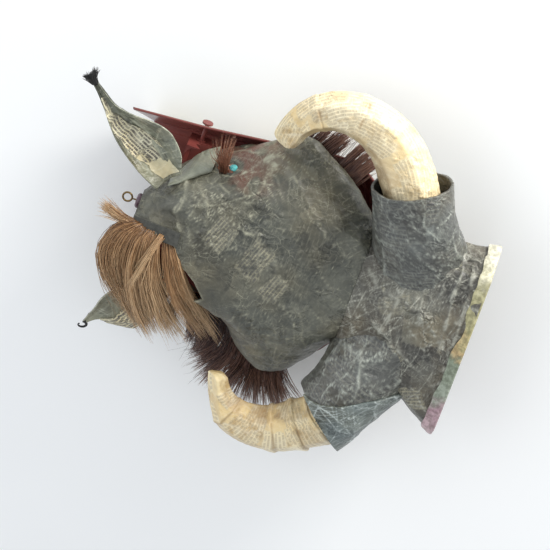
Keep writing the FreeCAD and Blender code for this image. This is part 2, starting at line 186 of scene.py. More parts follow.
def smoothstep(low, high, value):
    t = np.clip((value - low) / (high - low), 0, 1)
    return t * t * (3 - 2 * t)


def unit_rows(vectors):
    return vectors / np.maximum(np.linalg.norm(vectors, axis=-1, keepdims=True), 1e-9)


def unit(vector):
    vector = np.asarray(vector, float)
    return vector / np.linalg.norm(vector)


# ---------------------------------------------------------------- meshes


def make_object(name, points, faces, material, attributes=None):
    used = sorted({index for face in faces for index in face})
    place = {index: k for k, index in enumerate(used)}
    faces = [tuple(place[index] for index in face) for face in faces]
    mesh = bpy.data.meshes.new(name)
    mesh.from_pydata((np.asarray(points).reshape(-1, 3)[used] * MM).tolist(), [], faces)
    mesh.update()
    for label, values in (attributes or {}).items():
        values = np.asarray(values, float)[used]
        kind = "FLOAT_VECTOR" if values.ndim > 1 else "FLOAT"
        field = "vector" if values.ndim > 1 else "value"
        layer = mesh.attributes.new(label, kind, "POINT")
        layer.data.foreach_set(field, values.ravel())
    mesh.polygons.foreach_set("use_smooth", [True] * len(mesh.polygons))
    mesh.materials.append(material)
    thing = bpy.data.objects.new(name, mesh)
    bpy.context.collection.objects.link(thing)
    return thing


def grid_faces(rows, columns, wrap=False):
    """Quads over a grid of points, facing the way that grid_normals points."""
    faces = []
    last = columns if wrap else columns - 1
    for i in range(rows - 1):
        for j in range(last):
            k = (j + 1) % columns
            faces.append((i * columns + j, (i + 1) * columns + j, (i + 1) * columns + k, i * columns + k))
    return faces


def shell(outer, inner, wrap=False, past=None):
    """Points and faces of a two-sided sheet, joined round its open edges, without the quads past a cut."""
    rows, columns = outer.shape[:2]
    count = rows * columns
    front = grid_faces(rows, columns, wrap)
    if past is not None:
        gone = past.ravel()
        front = [face for face in front if not all(gone[index] for index in face)]
    edges = set()
    for face in front:
        edges.update(zip(face, face[1:] + face[:1]))
    faces = list(front)
    faces += [tuple(index + count for index in reversed(face)) for face in front]
    faces += [(b, a, a + count, b + count) for a, b in sorted(edges) if (b, a) not in edges]
    return np.concatenate([outer.reshape(-1, 3), inner.reshape(-1, 3)]), faces


def both_sides(values, fill=0.0):
    """A grid's values for its front, and one plain value for its back."""
    flat = values.reshape(values.shape[0] * values.shape[1], -1)
    both = np.concatenate([flat, np.full_like(flat, fill)])
    return both[:, 0] if both.shape[1] == 1 else both


def capped_tube(grid):
    """Points and faces of a tube of rings with a point in the middle of each end."""
    rows, columns = grid.shape[:2]
    points = np.concatenate([grid.reshape(-1, 3), grid[0].mean(axis=0)[None], grid[-1].mean(axis=0)[None]])
    faces = grid_faces(rows, columns, wrap=True)
    first, last = rows * columns, rows * columns + 1
    end = (rows - 1) * columns
    for j in range(columns):
        k = (j + 1) % columns
        faces.append((first, j, k))
        faces.append((last, end + k, end + j))
    return points, faces


# ---------------------------------------------------------------- materials

BLACK = (0, 0, 0)
WHITE = (1, 1, 1)


def grey(level):
    return (level, level, level)


def new_material(name):
    material = bpy.data.materials.new(name)
    material.use_nodes = True
    return material, material.node_tree, material.node_tree.nodes["Principled BSDF"]


class Nodes:
    """Short calls for the shader nodes that the materials use."""

    def __init__(self, tree):
        self.tree = tree

    def add(self, kind, **settings):
        node = self.tree.nodes.new(kind)
        for key, value in settings.items():
            setattr(node, key, value)
        return node

    def plug(self, value, socket):
        if isinstance(value, bpy.types.NodeSocket):
            self.tree.links.new(value, socket)
        else:
            socket.default_value = value

    def attribute(self, label, output="Fac"):
        return self.add("ShaderNodeAttribute", attribute_name=label).outputs[output]

    def coordinates(self):
        return self.add("ShaderNodeTexCoord").outputs["Object"]

    def noise(self, vector, scale, detail=4.0, roughness=0.55, output="Fac"):
        node = self.add("ShaderNodeTexNoise")
        self.plug(vector, node.inputs["Vector"])
        node.inputs["Scale"].default_value = scale
        node.inputs["Detail"].default_value = detail
        node.inputs["Roughness"].default_value = roughness
        return node.outputs[output]

    def cell_edges(self, vector, scale):
        node = self.add("ShaderNodeTexVoronoi", feature="DISTANCE_TO_EDGE")
        self.plug(vector, node.inputs["Vector"])
        node.inputs["Scale"].default_value = scale
        return node.outputs["Distance"]

    def warped(self, vector, scale, amount):
        """The vector pushed about by a coloured noise."""
        push = self.noise(vector, scale, 3, 0.6, "Color")
        node = self.add("ShaderNodeVectorMath", operation="MULTIPLY_ADD")
        self.plug(push, node.inputs[0])
        node.inputs[1].default_value = (amount, amount, amount)
        self.plug(vector, node.inputs[2])
        return node.outputs[0]

    def ramp(self, value, stops):
        node = self.add("ShaderNodeValToRGB")
        elements = node.color_ramp.elements
        while len(elements) < len(stops):
            elements.new(0.5)
        for element, (place, colour) in zip(elements, stops):
            element.position = place
            element.color = (*colour, 1) if len(colour) == 3 else colour
        self.plug(value, node.inputs["Fac"])
        return node.outputs["Color"]

    def math(self, operation, a, b=0.0, clamp=False):
        node = self.add("ShaderNodeMath", operation=operation, use_clamp=clamp)
        self.plug(a, node.inputs[0])
        self.plug(b, node.inputs[1])
        return node.outputs[0]

    def times(self, a, b, clamp=False):
        return self.math("MULTIPLY", a, b, clamp)

    def plus(self, a, b, clamp=False):
        return self.math("ADD", a, b, clamp)

    def mix(self, share, a, b, blend="MIX"):
        node = self.add("ShaderNodeMix", data_type="RGBA", blend_type=blend)
        self.plug(share, node.inputs[0])
        self.plug((*a, 1) if isinstance(a, tuple) else a, node.inputs[6])
        self.plug((*b, 1) if isinstance(b, tuple) else b, node.inputs[7])
        return node.outputs[2]

    def scaled(self, vector, scale):
        node = self.add("ShaderNodeVectorMath", operation="MULTIPLY")
        self.plug(vector, node.inputs[0])
        node.inputs[1].default_value = scale
        return node.outputs[0]

    def bump(self, height, strength, distance, normal=None):
        node = self.add("ShaderNodeBump")
        node.inputs["Strength"].default_value = strength
        node.inputs["Distance"].default_value = distance
        self.plug(height, node.inputs["Height"])
        if normal is not None:
            self.plug(normal, node.inputs["Normal"])
        return node.outputs["Normal"]


LINE_PITCH = 3.4


def print_mask(nodes, vector, pitch=LINE_PITCH, weight=0.62):
    """Rows of short dark dashes of uneven length, like small print too coarse to read.

    The vector is in millimetres."""
    split = nodes.add("ShaderNodeSeparateXYZ")
    nodes.plug(vector, split.inputs[0])
    along, down = split.outputs[0], split.outputs[1]
    line = nodes.math("DIVIDE", down, pitch)
    row = nodes.math("FLOOR", line)
    place = nodes.math("FRACT", line)
    above, below = nodes.math("GREATER_THAN", place, 0.24), nodes.math("LESS_THAN", place, 0.24 + weight)
    body = nodes.times(above, below)
    join = nodes.add("ShaderNodeCombineXYZ")
    nodes.plug(along, join.inputs[0])
    nodes.plug(nodes.times(row, 37.3), join.inputs[1])
    words = nodes.noise(join.outputs[0], 0.28, 1.0, 0.5)
    strokes = nodes.noise(join.outputs[0], 1.5, 1.0, 0.5)
    gaps = nodes.math("GREATER_THAN", words, 0.40)
    letters = nodes.math("GREATER_THAN", strokes, 0.41)
    return nodes.times(nodes.times(body, gaps), letters)


EYE_STAIN = (0.155, 0.060, 0.036)


def paper_material(
    name, dark, middle, light, crease, ink_share,
    paper=(0.40, 0.37, 0.25), gloss=0.42, ink=(0.05, 0.05, 0.05),
    warm=(1.16, 1.02, 0.84), crinkle=1.0, smudge_and_shade_colour=(0.035, 0.033, 0.028), coat=0.25,
):
    """Painted papier-mache: tones by layer, pale creases (partly worn paint, partly painted highlight), print
    that shows through, darker patches (dirt, and on the tusks painted shade), satin varnish.
    """
    material, tree, shader = new_material(name)
    nodes = Nodes(tree)
    place = nodes.coordinates()
    broad = nodes.noise(place, 26, 5, 0.6)
    fibres = nodes.noise(nodes.scaled(place, (1, 2.4, 1)), 330, 6, 0.7)
    speckle = nodes.noise(place, 900, 3, 0.6)
    tone = nodes.plus(nodes.times(broad, 0.75), nodes.times(nodes.attribute("tone"), 0.4))
    tone = nodes.plus(tone, nodes.times(fibres, 0.22))
    base = nodes.ramp(tone, [(0.45, dark), (0.68, middle), (0.98, light)])
    warmed = nodes.mix(1.0, base, warm, "MULTIPLY")
    base = nodes.mix(
        nodes.ramp(nodes.noise(place, 17, 2, 0.5), [(0.42, BLACK), (0.60, WHITE)]), base, warmed,
    )
    streaks = nodes.noise(nodes.scaled(place, (3, 0.7, 1)), 260, 3, 0.6)
    stain_share = nodes.times(nodes.attribute("stain"), nodes.plus(streaks, 0.35), clamp=True)
    base = nodes.mix(stain_share, base, EYE_STAIN)
    printed = nodes.attribute("printed")
    mask = print_mask(nodes, nodes.attribute("print_place", "Vector"))
    worn = nodes.times(printed, nodes.ramp(nodes.noise(place, 120, 4, 0.7), [(0.34, BLACK), (0.6, WHITE)]))
    shown = nodes.mix(nodes.times(worn, 0.72), base, paper)
    inked = nodes.mix(nodes.times(nodes.times(mask, printed), ink_share), shown, ink)
    lines = nodes.attribute("crease")
    broken = nodes.ramp(nodes.noise(place, 130, 3, 0.6), [(0.38, grey(0.15)), (0.6, WHITE)])
    folded = nodes.scaled(nodes.warped(place, 24, 0.03), (1.0, 1.9, 1.3))
    pinched = nodes.scaled(nodes.warped(place, 60, 0.012), (1.6, 0.9, 1.2))
    long_edges = nodes.cell_edges(folded, 62)
    short_edges = nodes.cell_edges(pinched, 150)
    where = nodes.ramp(nodes.noise(place, 30, 3, 0.6), [(0.42, grey(0.06)), (0.64, WHITE)])
    long_lines = nodes.times(nodes.ramp(long_edges, [(0.0, WHITE), (0.024, BLACK)]), where)
    short_lines = nodes.times(nodes.ramp(short_edges, [(0.0, WHITE), (0.036, BLACK)]), where)
    network = nodes.plus(nodes.times(long_lines, 0.75), nodes.times(short_lines, 0.35))
    network = nodes.times(network, min(crinkle, 1.0) * 0.8)
    # Pale crease lines on the fold crests: partly worn paint, partly a painted highlight where light catches
    # the crests.
    creases_worn_and_highlit = nodes.mix(nodes.times(lines, broken), inked, crease)
    patchy = nodes.ramp(nodes.noise(place, 95, 3, 0.6), [(0.36, grey(0.15)), (0.55, WHITE)])
    creases_worn_and_highlit = nodes.mix(nodes.times(network, patchy, clamp=True), creases_worn_and_highlit, crease)
    # Darker patches: random dirt on most sheets; on the tusks they are painted shade on the side towards the
    # head and in the grooves by the wound bands.
    soiled_and_shaded = nodes.mix(nodes.times(nodes.attribute("hollow"), 0.6), creases_worn_and_highlit, smudge_and_shade_colour)
    nodes.plug(soiled_and_shaded, shader.inputs["Base Color"])
    rough = nodes.ramp(
        nodes.noise(place, 70, 4, 0.6), [(0.3, grey(gloss - 0.08)), (0.7, grey(gloss + 0.16))],
    )
    nodes.plug(rough, shader.inputs["Roughness"])
    shader.inputs["Coat Weight"].default_value = coat
    shader.inputs["Coat Roughness"].default_value = 0.32
    valleys = nodes.math("SUBTRACT", nodes.noise(place, 44, 2, 0.5), 0.5)
    creased = nodes.plus(nodes.times(long_edges, 1.0), nodes.times(short_edges, 0.45))
    creased = nodes.times(creased, nodes.times(valleys, -6.0))
    folds = nodes.bump(creased, 1.0, 0.0042 * crinkle)
    height = nodes.plus(fibres, nodes.times(speckle, 0.35))
    nodes.plug(nodes.bump(height, 0.55, 0.0006, folds), shader.inputs["Normal"])
    return material


def plain_material(
    name, dark, light, scale, roughness=0.6, stretch=(1, 1, 1), bump=0.3, depth=0.0004, metallic=0.0,
    coat=0.0,
):
    """Two tones by a stretched noise, with the same noise as its relief."""
    material, tree, shader = new_material(name)
    nodes = Nodes(tree)
    grain = nodes.noise(nodes.scaled(nodes.coordinates(), stretch), scale, 6, 0.6)
    nodes.plug(nodes.ramp(grain, [(0.3, dark), (0.7, light)]), shader.inputs["Base Color"])
    rough = nodes.ramp(grain, [(0.2, grey(roughness + 0.1)), (0.8, grey(roughness - 0.08))])
    nodes.plug(rough, shader.inputs["Roughness"])
    shader.inputs["Metallic"].default_value = metallic
    shader.inputs["Coat Weight"].default_value = coat
    nodes.plug(nodes.bump(grain, bump, depth), shader.inputs["Normal"])
    return material


def hair_material(name, root, middle, tip, roughness=0.38):
    """Hair whose tone runs from root to tip and differs from strand to strand."""
    material, tree, shader = new_material(name)
    nodes = Nodes(tree)
    length = nodes.attribute("length_share")
    strand = nodes.attribute("strand_tone")
    tone = nodes.plus(nodes.times(length, 0.5), nodes.times(strand, 0.62), clamp=True)
    streak = nodes.noise(nodes.coordinates(), 160, 3, 0.6)
    tone = nodes.plus(tone, nodes.times(nodes.math("SUBTRACT", streak, 0.5), 0.3), clamp=True)
    # The tip colour is paler; on the brown whiskers that paleness is a painted highlight.
    nodes.plug(nodes.ramp(tone, [(0.1, root), (0.5, middle), (0.95, tip)]), shader.inputs["Base Color"])
    rough = nodes.ramp(strand, [(0.0, grey(roughness - 0.08)), (1.0, grey(roughness + 0.12))])
    nodes.plug(rough, shader.inputs["Roughness"])
    shader.inputs["Specular IOR Level"].default_value = 0.6
    return material


def webbing_material(name):
    material, tree, shader = new_material(name)
    nodes = Nodes(tree)
    wave = nodes.add("ShaderNodeTexWave", wave_type="BANDS", bands_direction="DIAGONAL")
    nodes.plug(nodes.coordinates(), wave.inputs["Vector"])
    wave.inputs["Scale"].default_value = 420
    wave.inputs["Distortion"].default_value = 1.2
    nodes.plug(
        nodes.ramp(wave.outputs["Fac"], [(0.2, (0.012, 0.012, 0.014)), (0.8, (0.05, 0.05, 0.055))]),
        shader.inputs["Base Color"],
    )
    nodes.plug(
        nodes.ramp(wave.outputs["Fac"], [(0, grey(0.8)), (1, grey(0.95))]), shader.inputs["Roughness"],
    )
    nodes.plug(nodes.bump(wave.outputs["Fac"], 0.6, 0.0004), shader.inputs["Normal"])
    return material


def rim_material(name):
    """Coloured magazine paper in torn pieces: cream, olive yellow, orange, green and pink."""
    material, tree, shader = new_material(name)
    nodes = Nodes(tree)
    split = nodes.add("ShaderNodeSeparateXYZ")
    nodes.plug(nodes.coordinates(), split.inputs[0])
    wobble = nodes.times(nodes.math("SUBTRACT", nodes.noise(nodes.coordinates(), 60, 3, 0.6), 0.5), 0.35)
    share = nodes.plus(nodes.times(split.outputs[1], -5.2), nodes.plus(wobble, 0.5))
    bands = nodes.ramp(share, [
        (0.10, (0.70, 0.67, 0.54)), (0.24, (0.46, 0.43, 0.25)), (0.44, (0.42, 0.39, 0.20)),
        (0.54, (0.55, 0.40, 0.20)), (0.62, (0.24, 0.28, 0.20)), (0.78, (0.36, 0.40, 0.32)),
        (0.90, (0.44, 0.28, 0.32)), (0.99, (0.55, 0.40, 0.42)),
    ])
    specks = nodes.ramp(
        nodes.noise(nodes.coordinates(), 210, 5, 0.7), [(0.42, (0.45, 0.45, 0.42)), (0.6, WHITE)],
    )
    nodes.plug(nodes.mix(0.8, bands, specks, "MULTIPLY"), shader.inputs["Base Color"])
    grain = nodes.noise(nodes.coordinates(), 400, 5, 0.6)
    nodes.plug(nodes.ramp(grain, [(0.3, grey(0.34)), (0.7, grey(0.5))]), shader.inputs["Roughness"])
    nodes.plug(nodes.bump(grain, 0.4, 0.0004), shader.inputs["Normal"])
    return material


def bead_material(name):
    material, tree, shader = new_material(name)
    nodes = Nodes(tree)
    cloud = nodes.noise(nodes.coordinates(), 300, 3, 0.5)
    nodes.plug(
        nodes.ramp(cloud, [(0.3, (0.01, 0.32, 0.34)), (0.7, (0.12, 0.62, 0.58))]),
        shader.inputs["Base Color"],
    )
    nodes.plug(nodes.ramp(cloud, [(0, grey(0.05)), (1, grey(0.14))]), shader.inputs["Roughness"])
    shader.inputs["Coat Weight"].default_value = 0.8
    return material


MATERIALS = {
    "hide": paper_material(
        "hide_paper", dark=(0.034, 0.036, 0.029), middle=(0.068, 0.071, 0.056),
        light=(0.122, 0.124, 0.096), crease=(0.38, 0.37, 0.27), ink_share=0.65,
    ),
    "snout": paper_material(
        "snout_paper", dark=(0.040, 0.038, 0.032), middle=(0.080, 0.076, 0.062),
        light=(0.140, 0.136, 0.106), crease=(0.42, 0.42, 0.35), ink_share=0.6, crinkle=1.25,
    ),
    "nose": paper_material(
        "nose_paper", dark=(0.040, 0.036, 0.034), middle=(0.078, 0.070, 0.062),
        light=(0.130, 0.120, 0.104), crease=(0.36, 0.34, 0.30), ink_share=0.5, gloss=0.66, crinkle=0.6,
        coat=0.0,
    ),
    "socket": paper_material(
        "socket_paper", dark=(0.036, 0.036, 0.034), middle=(0.070, 0.072, 0.066),
        light=(0.130, 0.142, 0.134), crease=(0.34, 0.36, 0.31), ink_share=0.75,
        paper=(0.17, 0.17, 0.14), crinkle=0.8,
    ),
    "temple": paper_material(
        "temple_paper", dark=(0.13, 0.15, 0.125), middle=(0.18, 0.205, 0.175),
        light=(0.24, 0.265, 0.225), crease=(0.42, 0.45, 0.40), ink_share=0.2, gloss=0.32, crinkle=0.2,
    ),
    "flap": paper_material(
        "flap_paper", dark=(0.055, 0.068, 0.068), middle=(0.10, 0.125, 0.122),
        light=(0.20, 0.235, 0.225), crease=(0.45, 0.50, 0.48), ink_share=0.5, crinkle=1.3,
    ),
    "jaw": paper_material(
        "jaw_paper", dark=(0.15, 0.15, 0.14), middle=(0.24, 0.24, 0.22), light=(0.34, 0.34, 0.31),
        crease=(0.45, 0.45, 0.42), ink_share=0.4, gloss=0.5, crinkle=0.3,
    ),
    # The tusk's dark brown mixed colour stands for painted shade on its side towards the head and in its
    # grooves.
    "tusk": paper_material(
        "tusk_paper", dark=(0.50, 0.36, 0.18), middle=(0.74, 0.60, 0.36), light=(0.86, 0.77, 0.55),
        crease=(0.90, 0.84, 0.66), ink_share=0.42, paper=(0.84, 0.74, 0.50), gloss=0.46,
        ink=(0.30, 0.22, 0.13), warm=(1.04, 0.97, 0.80), crinkle=0.45, smudge_and_shade_colour=(0.26, 0.155, 0.065),
    ),
    "ear": paper_material(
        "ear_paper", dark=(0.075, 0.080, 0.060), middle=(0.14, 0.15, 0.115), light=(0.25, 0.26, 0.19),
        crease=(0.50, 0.50, 0.38), ink_share=0.5, gloss=0.3, crinkle=0.7,
    ),
    "ear_print": paper_material(
        "ear_newsprint", dark=(0.40, 0.36, 0.19), middle=(0.56, 0.53, 0.36), light=(0.70, 0.67, 0.52),
        crease=(0.85, 0.8, 0.6), ink_share=0.92, paper=(0.55, 0.52, 0.37), gloss=0.4,
        ink=(0.07, 0.06, 0.05), crinkle=0.4,
    ),
    "red": plain_material(
        "red_gloss", dark=(0.155, 0.034, 0.029), light=(0.255, 0.066, 0.054), scale=14, roughness=0.3,
        stretch=(1, 9, 9), bump=0.15, coat=0.5,
    ),
    "card": plain_material(
        "brown_card", dark=(0.30, 0.20, 0.11), light=(0.42, 0.30, 0.18), scale=90, roughness=0.85,
        stretch=(1, 8, 8),
    ),
    "plywood": plain_material(
        "birch_plywood", dark=(0.50, 0.34, 0.18), light=(0.68, 0.50, 0.30), scale=60, roughness=0.65,
        stretch=(1, 1, 12),
    ),
    "dowel": plain_material(
        "beech_dowel", dark=(0.55, 0.37, 0.20), light=(0.70, 0.52, 0.32), scale=80, roughness=0.6,
        stretch=(9, 1, 9),
    ),
    "stuffing": plain_material(
        "crumpled_newsprint", dark=(0.42, 0.40, 0.34), light=(0.68, 0.66, 0.58), scale=120,
        roughness=0.9,
    ),
    "wire": plain_material(
        "dull_bronze", dark=(0.13, 0.085, 0.035), light=(0.34, 0.24, 0.11), scale=500, roughness=0.38,
        metallic=0.9,
    ),
    "red_wood": plain_material(
        "red_painted_wood", dark=(0.15, 0.032, 0.027), light=(0.23, 0.058, 0.047), scale=40,
        roughness=0.35, stretch=(1, 1, 8), bump=0.2,
    ),
    "black": plain_material(
        "black_thread", dark=(0.006, 0.006, 0.006), light=(0.03, 0.03, 0.03), scale=900, roughness=0.7,
    ),
    "eye_brown": plain_material(
        "eye_varnish", dark=(0.13, 0.04, 0.018), light=(0.32, 0.12, 0.06), scale=200, roughness=0.3,
        coat=0.5,
    ),
    "plum": plain_material(
        "plum_paper", dark=(0.05, 0.022, 0.035), light=(0.17, 0.10, 0.125), scale=70, roughness=0.4,
        coat=0.3,
    ),
    "hide_strip": plain_material(
        "raw_hide", dark=(0.030, 0.030, 0.026), light=(0.085, 0.085, 0.070), scale=250, roughness=0.6,
    ),
    "webbing": webbing_material("cotton_webbing"),
    "rim": rim_material("magazine_paper"),
    "bead": bead_material("turquoise_bead"),
    "ginger": hair_material(
        "ginger_hair", root=(0.09, 0.040, 0.016), middle=(0.33, 0.18, 0.080), tip=(0.66, 0.46, 0.26),
    ),
    # The whiskers' pale tip colour is a painted highlight, and their near-black roots are dark hair partly
    # darkened as painted shade under the cheeks.
    "brown": hair_material(
        "brown_hair", root=(0.012, 0.005, 0.005), middle=(0.052, 0.020, 0.015),
        tip=(0.26, 0.135, 0.09), roughness=0.27,
    ),
    "lash": hair_material(
        "lash_hair", root=(0.05, 0.018, 0.010), middle=(0.16, 0.06, 0.030), tip=(0.30, 0.13, 0.07),
        roughness=0.35,
    ),
}


# ---------------------------------------------------------------- papier-mache relief

LAYER_STEP = 0.28
# The tone of a sheet's plain back, from 0 to 1.
BACK_TONE = 0.3


def pasted_layers(plan, seed, count, size, print_share, angles=(0, math.pi), patches=()):
    """Torn rectangles of paper pasted over a surface whose plan coordinates are given in millimetres.

    Each patch in patches is (along, across, half-length, half-width, angle, tone, printed), pasted last."""
    draw = random.Random(seed)
    low, high = plan.reshape(-1, 2).min(axis=0), plan.reshape(-1, 2).max(axis=0)
    pieces = []
    for _ in range(count):
        centre = (draw.uniform(low[0], high[0]), draw.uniform(low[1], high[1]))
        half = (size * draw.uniform(0.5, 1.3), size * draw.uniform(0.35, 0.9))
        angle, shade = draw.uniform(*angles), draw.random()
        pieces.append((*centre, *half, angle, shade, float(draw.random() < print_share)))
    height = np.zeros(plan.shape[:2])
    tone = np.full(plan.shape[:2], 0.5)
    printed = np.zeros(plan.shape[:2])
    place = np.zeros(plan.shape[:2] + (3,))
    flat = np.concatenate([plan, np.zeros(plan.shape[:2] + (1,))], axis=-1)
    for k, (a0, b0, half_a, half_b, angle, shade, is_printed) in enumerate(pieces + list(patches)):
        a = plan[..., 0] - a0
        b = plan[..., 1] - b0
        along = a * math.cos(angle) + b * math.sin(angle)
        across = -a * math.sin(angle) + b * math.cos(angle)
        torn = (noise(flat, 5, seed + k) - 0.5) * 3.5
        outside = np.maximum(np.abs(along) - half_a, np.abs(across) - half_b) + torn
        inside = outside < 0
        height = height + LAYER_STEP * (1 - smoothstep(-0.8, 0.5, outside)) - LAYER_STEP * 0.45 * inside
        tone = np.where(inside, shade, tone)
        printed = np.where(inside, is_printed, printed)
        place[inside] = np.stack([along[inside], across[inside], np.full(inside.sum(), float(k))], axis=-1)
    return height, tone, printed, place


def crumple(points, seed, count=12, short=14, long=55, amount=0.35):
    """Folds of many directions. Returns the height and how close each point is to a fold's crest."""
    draw = random.Random(seed)
    warp = np.stack([noise(points, 30, seed + k) for k in range(3)], axis=-1) * 16
    warped = points + warp
    height = np.zeros(points.shape[:-1])
    crest = np.zeros(points.shape[:-1])
    for k in range(count):
        direction = unit([draw.gauss(0, 1) for _ in range(3)])
        wave = draw.uniform(short, long)
        phase = warped @ direction / wave + draw.random()
        fold = np.abs((phase % 1.0) - 0.5) * 2
        where = smoothstep(0.42, 0.66, noise(points, 42, seed + 50 + k))
        height = height + (fold - 0.5) * amount * where * (wave / long) ** 0.5
        crest = np.maximum(crest, where * (1 - smoothstep(0.0, 1.1 / wave, 1 - fold)))
    return height, crest


def relief(points, normals, plan, seed, paste, folds=0.35, waves=0.5, crest_share=1.0, ridges=()):
    """Moves a surface out by its paper layers, folds and fine wrinkles. Returns points and paint attributes.

    Each ridge is (outline of plan points, height, half-width, how pale its crest is)."""
    stack, tone, printed, place = pasted_layers(plan, seed, **paste)
    fold, crest = crumple(points, seed + 200, amount=folds)
    fine_fold, fine_crest = crumple(points, seed + 300, 9, 4, 13, 0.26)
    swell = (layered_noise(points, 34, seed + 400) - 0.5) * 2 * waves
    wrinkle = (layered_noise(points, 5, seed + 500) - 0.5) * 0.5
    height = stack * 0.6 + fold + fine_fold + swell + wrinkle
    pale = np.clip((crest + fine_crest * 0.45) * crest_share, 0, 1)
    for line, rise, half_width, paleness in ridges:
        wander = (noise(points, 9, seed + 700) - 0.5) * half_width * 2.2
        share = np.exp(-((line_distance(plan, line) + wander) / half_width) ** 2)
        height = height + share * rise
        pale = np.maximum(pale, share ** 2 * paleness)
    attributes = {
        "tone": tone,
        "printed": printed,
        "print_place": place,
        # crease: pale fold crests, partly worn paint and partly painted highlight.
        "crease": pale,
        # Random darker patches of dirt; the tusks add painted shade to these.
        "hollow": smoothstep(0.55, 0.8, layered_noise(points, 11, seed + 600)) * 0.35,
    }
    return points + normals * height[..., None], attributes


def surface_plan(grid, start=0.0):
    """Plan coordinates of a grid: distance along it from start, and across it from its middle column."""
    step_along = np.linalg.norm(np.diff(grid, axis=0), axis=-1)
    along = np.concatenate([np.zeros((1, grid.shape[1])), np.cumsum(step_along, axis=0)])
    step_across = np.linalg.norm(np.diff(grid, axis=1), axis=-1)
    across = np.concatenate([np.zeros((grid.shape[0], 1)), np.cumsum(step_across, axis=1)], axis=1)
    middle = across[:, grid.shape[1] // 2][:, None]
    along = np.broadcast_to(along.mean(axis=1)[:, None] + start, across.shape)
    return np.stack([along, across - middle], axis=-1)


def line_distance(plan, line):
    """Distance from each plan point to a line of straight runs."""
    nearest = np.full(plan.shape[:-1], 1e9)
    for a, b in zip(line, line[1:]):
        a, b = np.array(a, float), np.array(b, float)
        share = np.clip(((plan - a) @ (b - a)) / ((b - a) @ (b - a)), 0, 1)
        nearest = np.minimum(nearest, np.linalg.norm(plan - a - share[..., None] * (b - a), axis=-1))
    return nearest


def outline_distance(plan, outline):
    """Distance from each plan point to a closed outline, negative inside it."""
    inside = np.zeros(plan.shape[:-1], bool)
    for (ax, ay), (bx, by) in zip(outline, outline[1:] + outline[:1]):
        if ay == by:
            continue
        crosses = (ay > plan[..., 1]) != (by > plan[..., 1])
        inside ^= crosses & (plan[..., 0] < (bx - ax) * (plan[..., 1] - ay) / (by - ay) + ax)
    distance = line_distance(plan, outline + outline[:1])
    return np.where(inside, -distance, distance)


def trim(grid, distance):
    """Slides the points beside a cut onto it, and says which are past it.

    The distance is negative past the cut."""
    along, across = np.gradient(distance)
    steepness = along ** 2 + across ** 2 + 1e-9
    shift_along, shift_across = -distance * along / steepness, -distance * across / steepness
    near = (np.abs(shift_along) < 0.7) & (np.abs(shift_across) < 0.7)
    step = np.gradient(grid, axis=0) * shift_along[..., None]
    step = step + np.gradient(grid, axis=1) * shift_across[..., None]
    return grid + np.where(near[..., None], step, 0), (distance < 0) | near


def sheet_values(attributes):
    """The paint attributes of a two-sided sheet whose back is plain."""
    values = {}
    for label, value in attributes.items():
        values[label] = both_sides(value, BACK_TONE if label == "tone" else 0.0)
    return values


def paper_skin(
    name, body, material, grid, thickness, seed, paste, wrap=False, cut=None, paint=None, start=0.0, **how
):
    """A sheet of papier-mache over a grid, with its relief, its paint and a plain back. Rides on a body."""
    normals = grid_normals(grid, wrap)
    outer, attributes = relief(grid, normals, surface_plan(grid, start), seed, paste, **how)
    past = None
    if cut is not None:
        outer, past = trim(outer, cut)
    for label, values in (paint or {}).items():
        attributes[label] = np.maximum(attributes.get(label, 0.0), values)
    points, faces = shell(outer, outer - normals * thickness, wrap, past)
    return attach(make_object(name, points, faces, MATERIALS[material], sheet_values(attributes)), body)


# ---------------------------------------------------------------- head and snout

HEAD_REAR = -111
SNOUT_START = 97
SNOUT_END = 209
# x, crown drop, shoulder half-width, left and right cheek half-width, cheek drop, left and right hem
# half-width, hem drop, close to the frame's head and snout shells
HEAD_STATIONS = [
    (HEAD_REAR, 2, 8, 20, 20, 18, 22, 22, 26),
    (-85, 0, 32, 52, 58, 42, 42, 64, 66),
    (-45, -2, 46, 75, 68, 46, 77, 75, 69),
    (-12, -2, 54, 105, 78, 45, 92, 82, 62),
    (18, 0, 60, 118, 104, 45, 100, 95, 60),
    (42, 1, 60, 104, 118, 45, 96, 101, 60),
    (68, 3, 54, 88, 104, 44, 82, 88, 59),
    (SNOUT_START, 6, 40, 58, 60, 42, 56, 58, 58),
]
SNOUT_STATIONS = [
    (SNOUT_START, 6, 40, 58, 60, 42, 56, 58, 58),
    (135, 4, 48, 66, 66, 36, 60, 60, 58),
    (175, 1, 62, 78, 80, 32, 68, 72, 58),
    (SNOUT_END, -3, 72, 92, 92, 28, 78, 78, 58),
]
WALL = 3.0
SNOUT_LEAN = 16.0
GAP_OUTLINE = [(-130, -3), (-72, -3), (-58, -24), (-40, -36), (-28, -50), (-40, -64), (-130, -64)]
GAP_FLOOR = 62
EYE_SPOTS = {"left": (-41, 67.5, CROWN - 33), "right": (-41, -63, CROWN - 33)}
SIDES = {"left": 1, "right": -1}


def station_loop(station):
    """One cross-section, from the right hem over the crown to the left hem."""
    x, crown, shoulder, left, right, cheek_drop, left_hem, right_hem, hem_drop = station
    shoulder_z = -crown - 6
    middle_z = (shoulder_z - cheek_drop) / 2 + 2
    loop = [
        (-right_hem, -hem_drop), (-right, -cheek_drop), (-0.45 * shoulder - 0.55 * right, middle_z),
        (-shoulder, shoulder_z), (0, -crown), (shoulder, shoulder_z),
        (0.45 * shoulder + 0.55 * left, middle_z), (left, -cheek_drop), (left_hem, -hem_drop),
    ]
    return [(x, y, CROWN + z) for y, z in loop]


def station_grid(stations, rows, columns, closed=False):
    loops = np.array([station_loop(station) for station in stations], float)
    lengthwise = spline(loops, np.linspace(0, 1, rows))
    places = np.arange(columns) / columns if closed else np.linspace(0, 1, columns)
    return np.swapaxes(spline(np.swapaxes(lengthwise, 0, 1), places, closed), 0, 1)


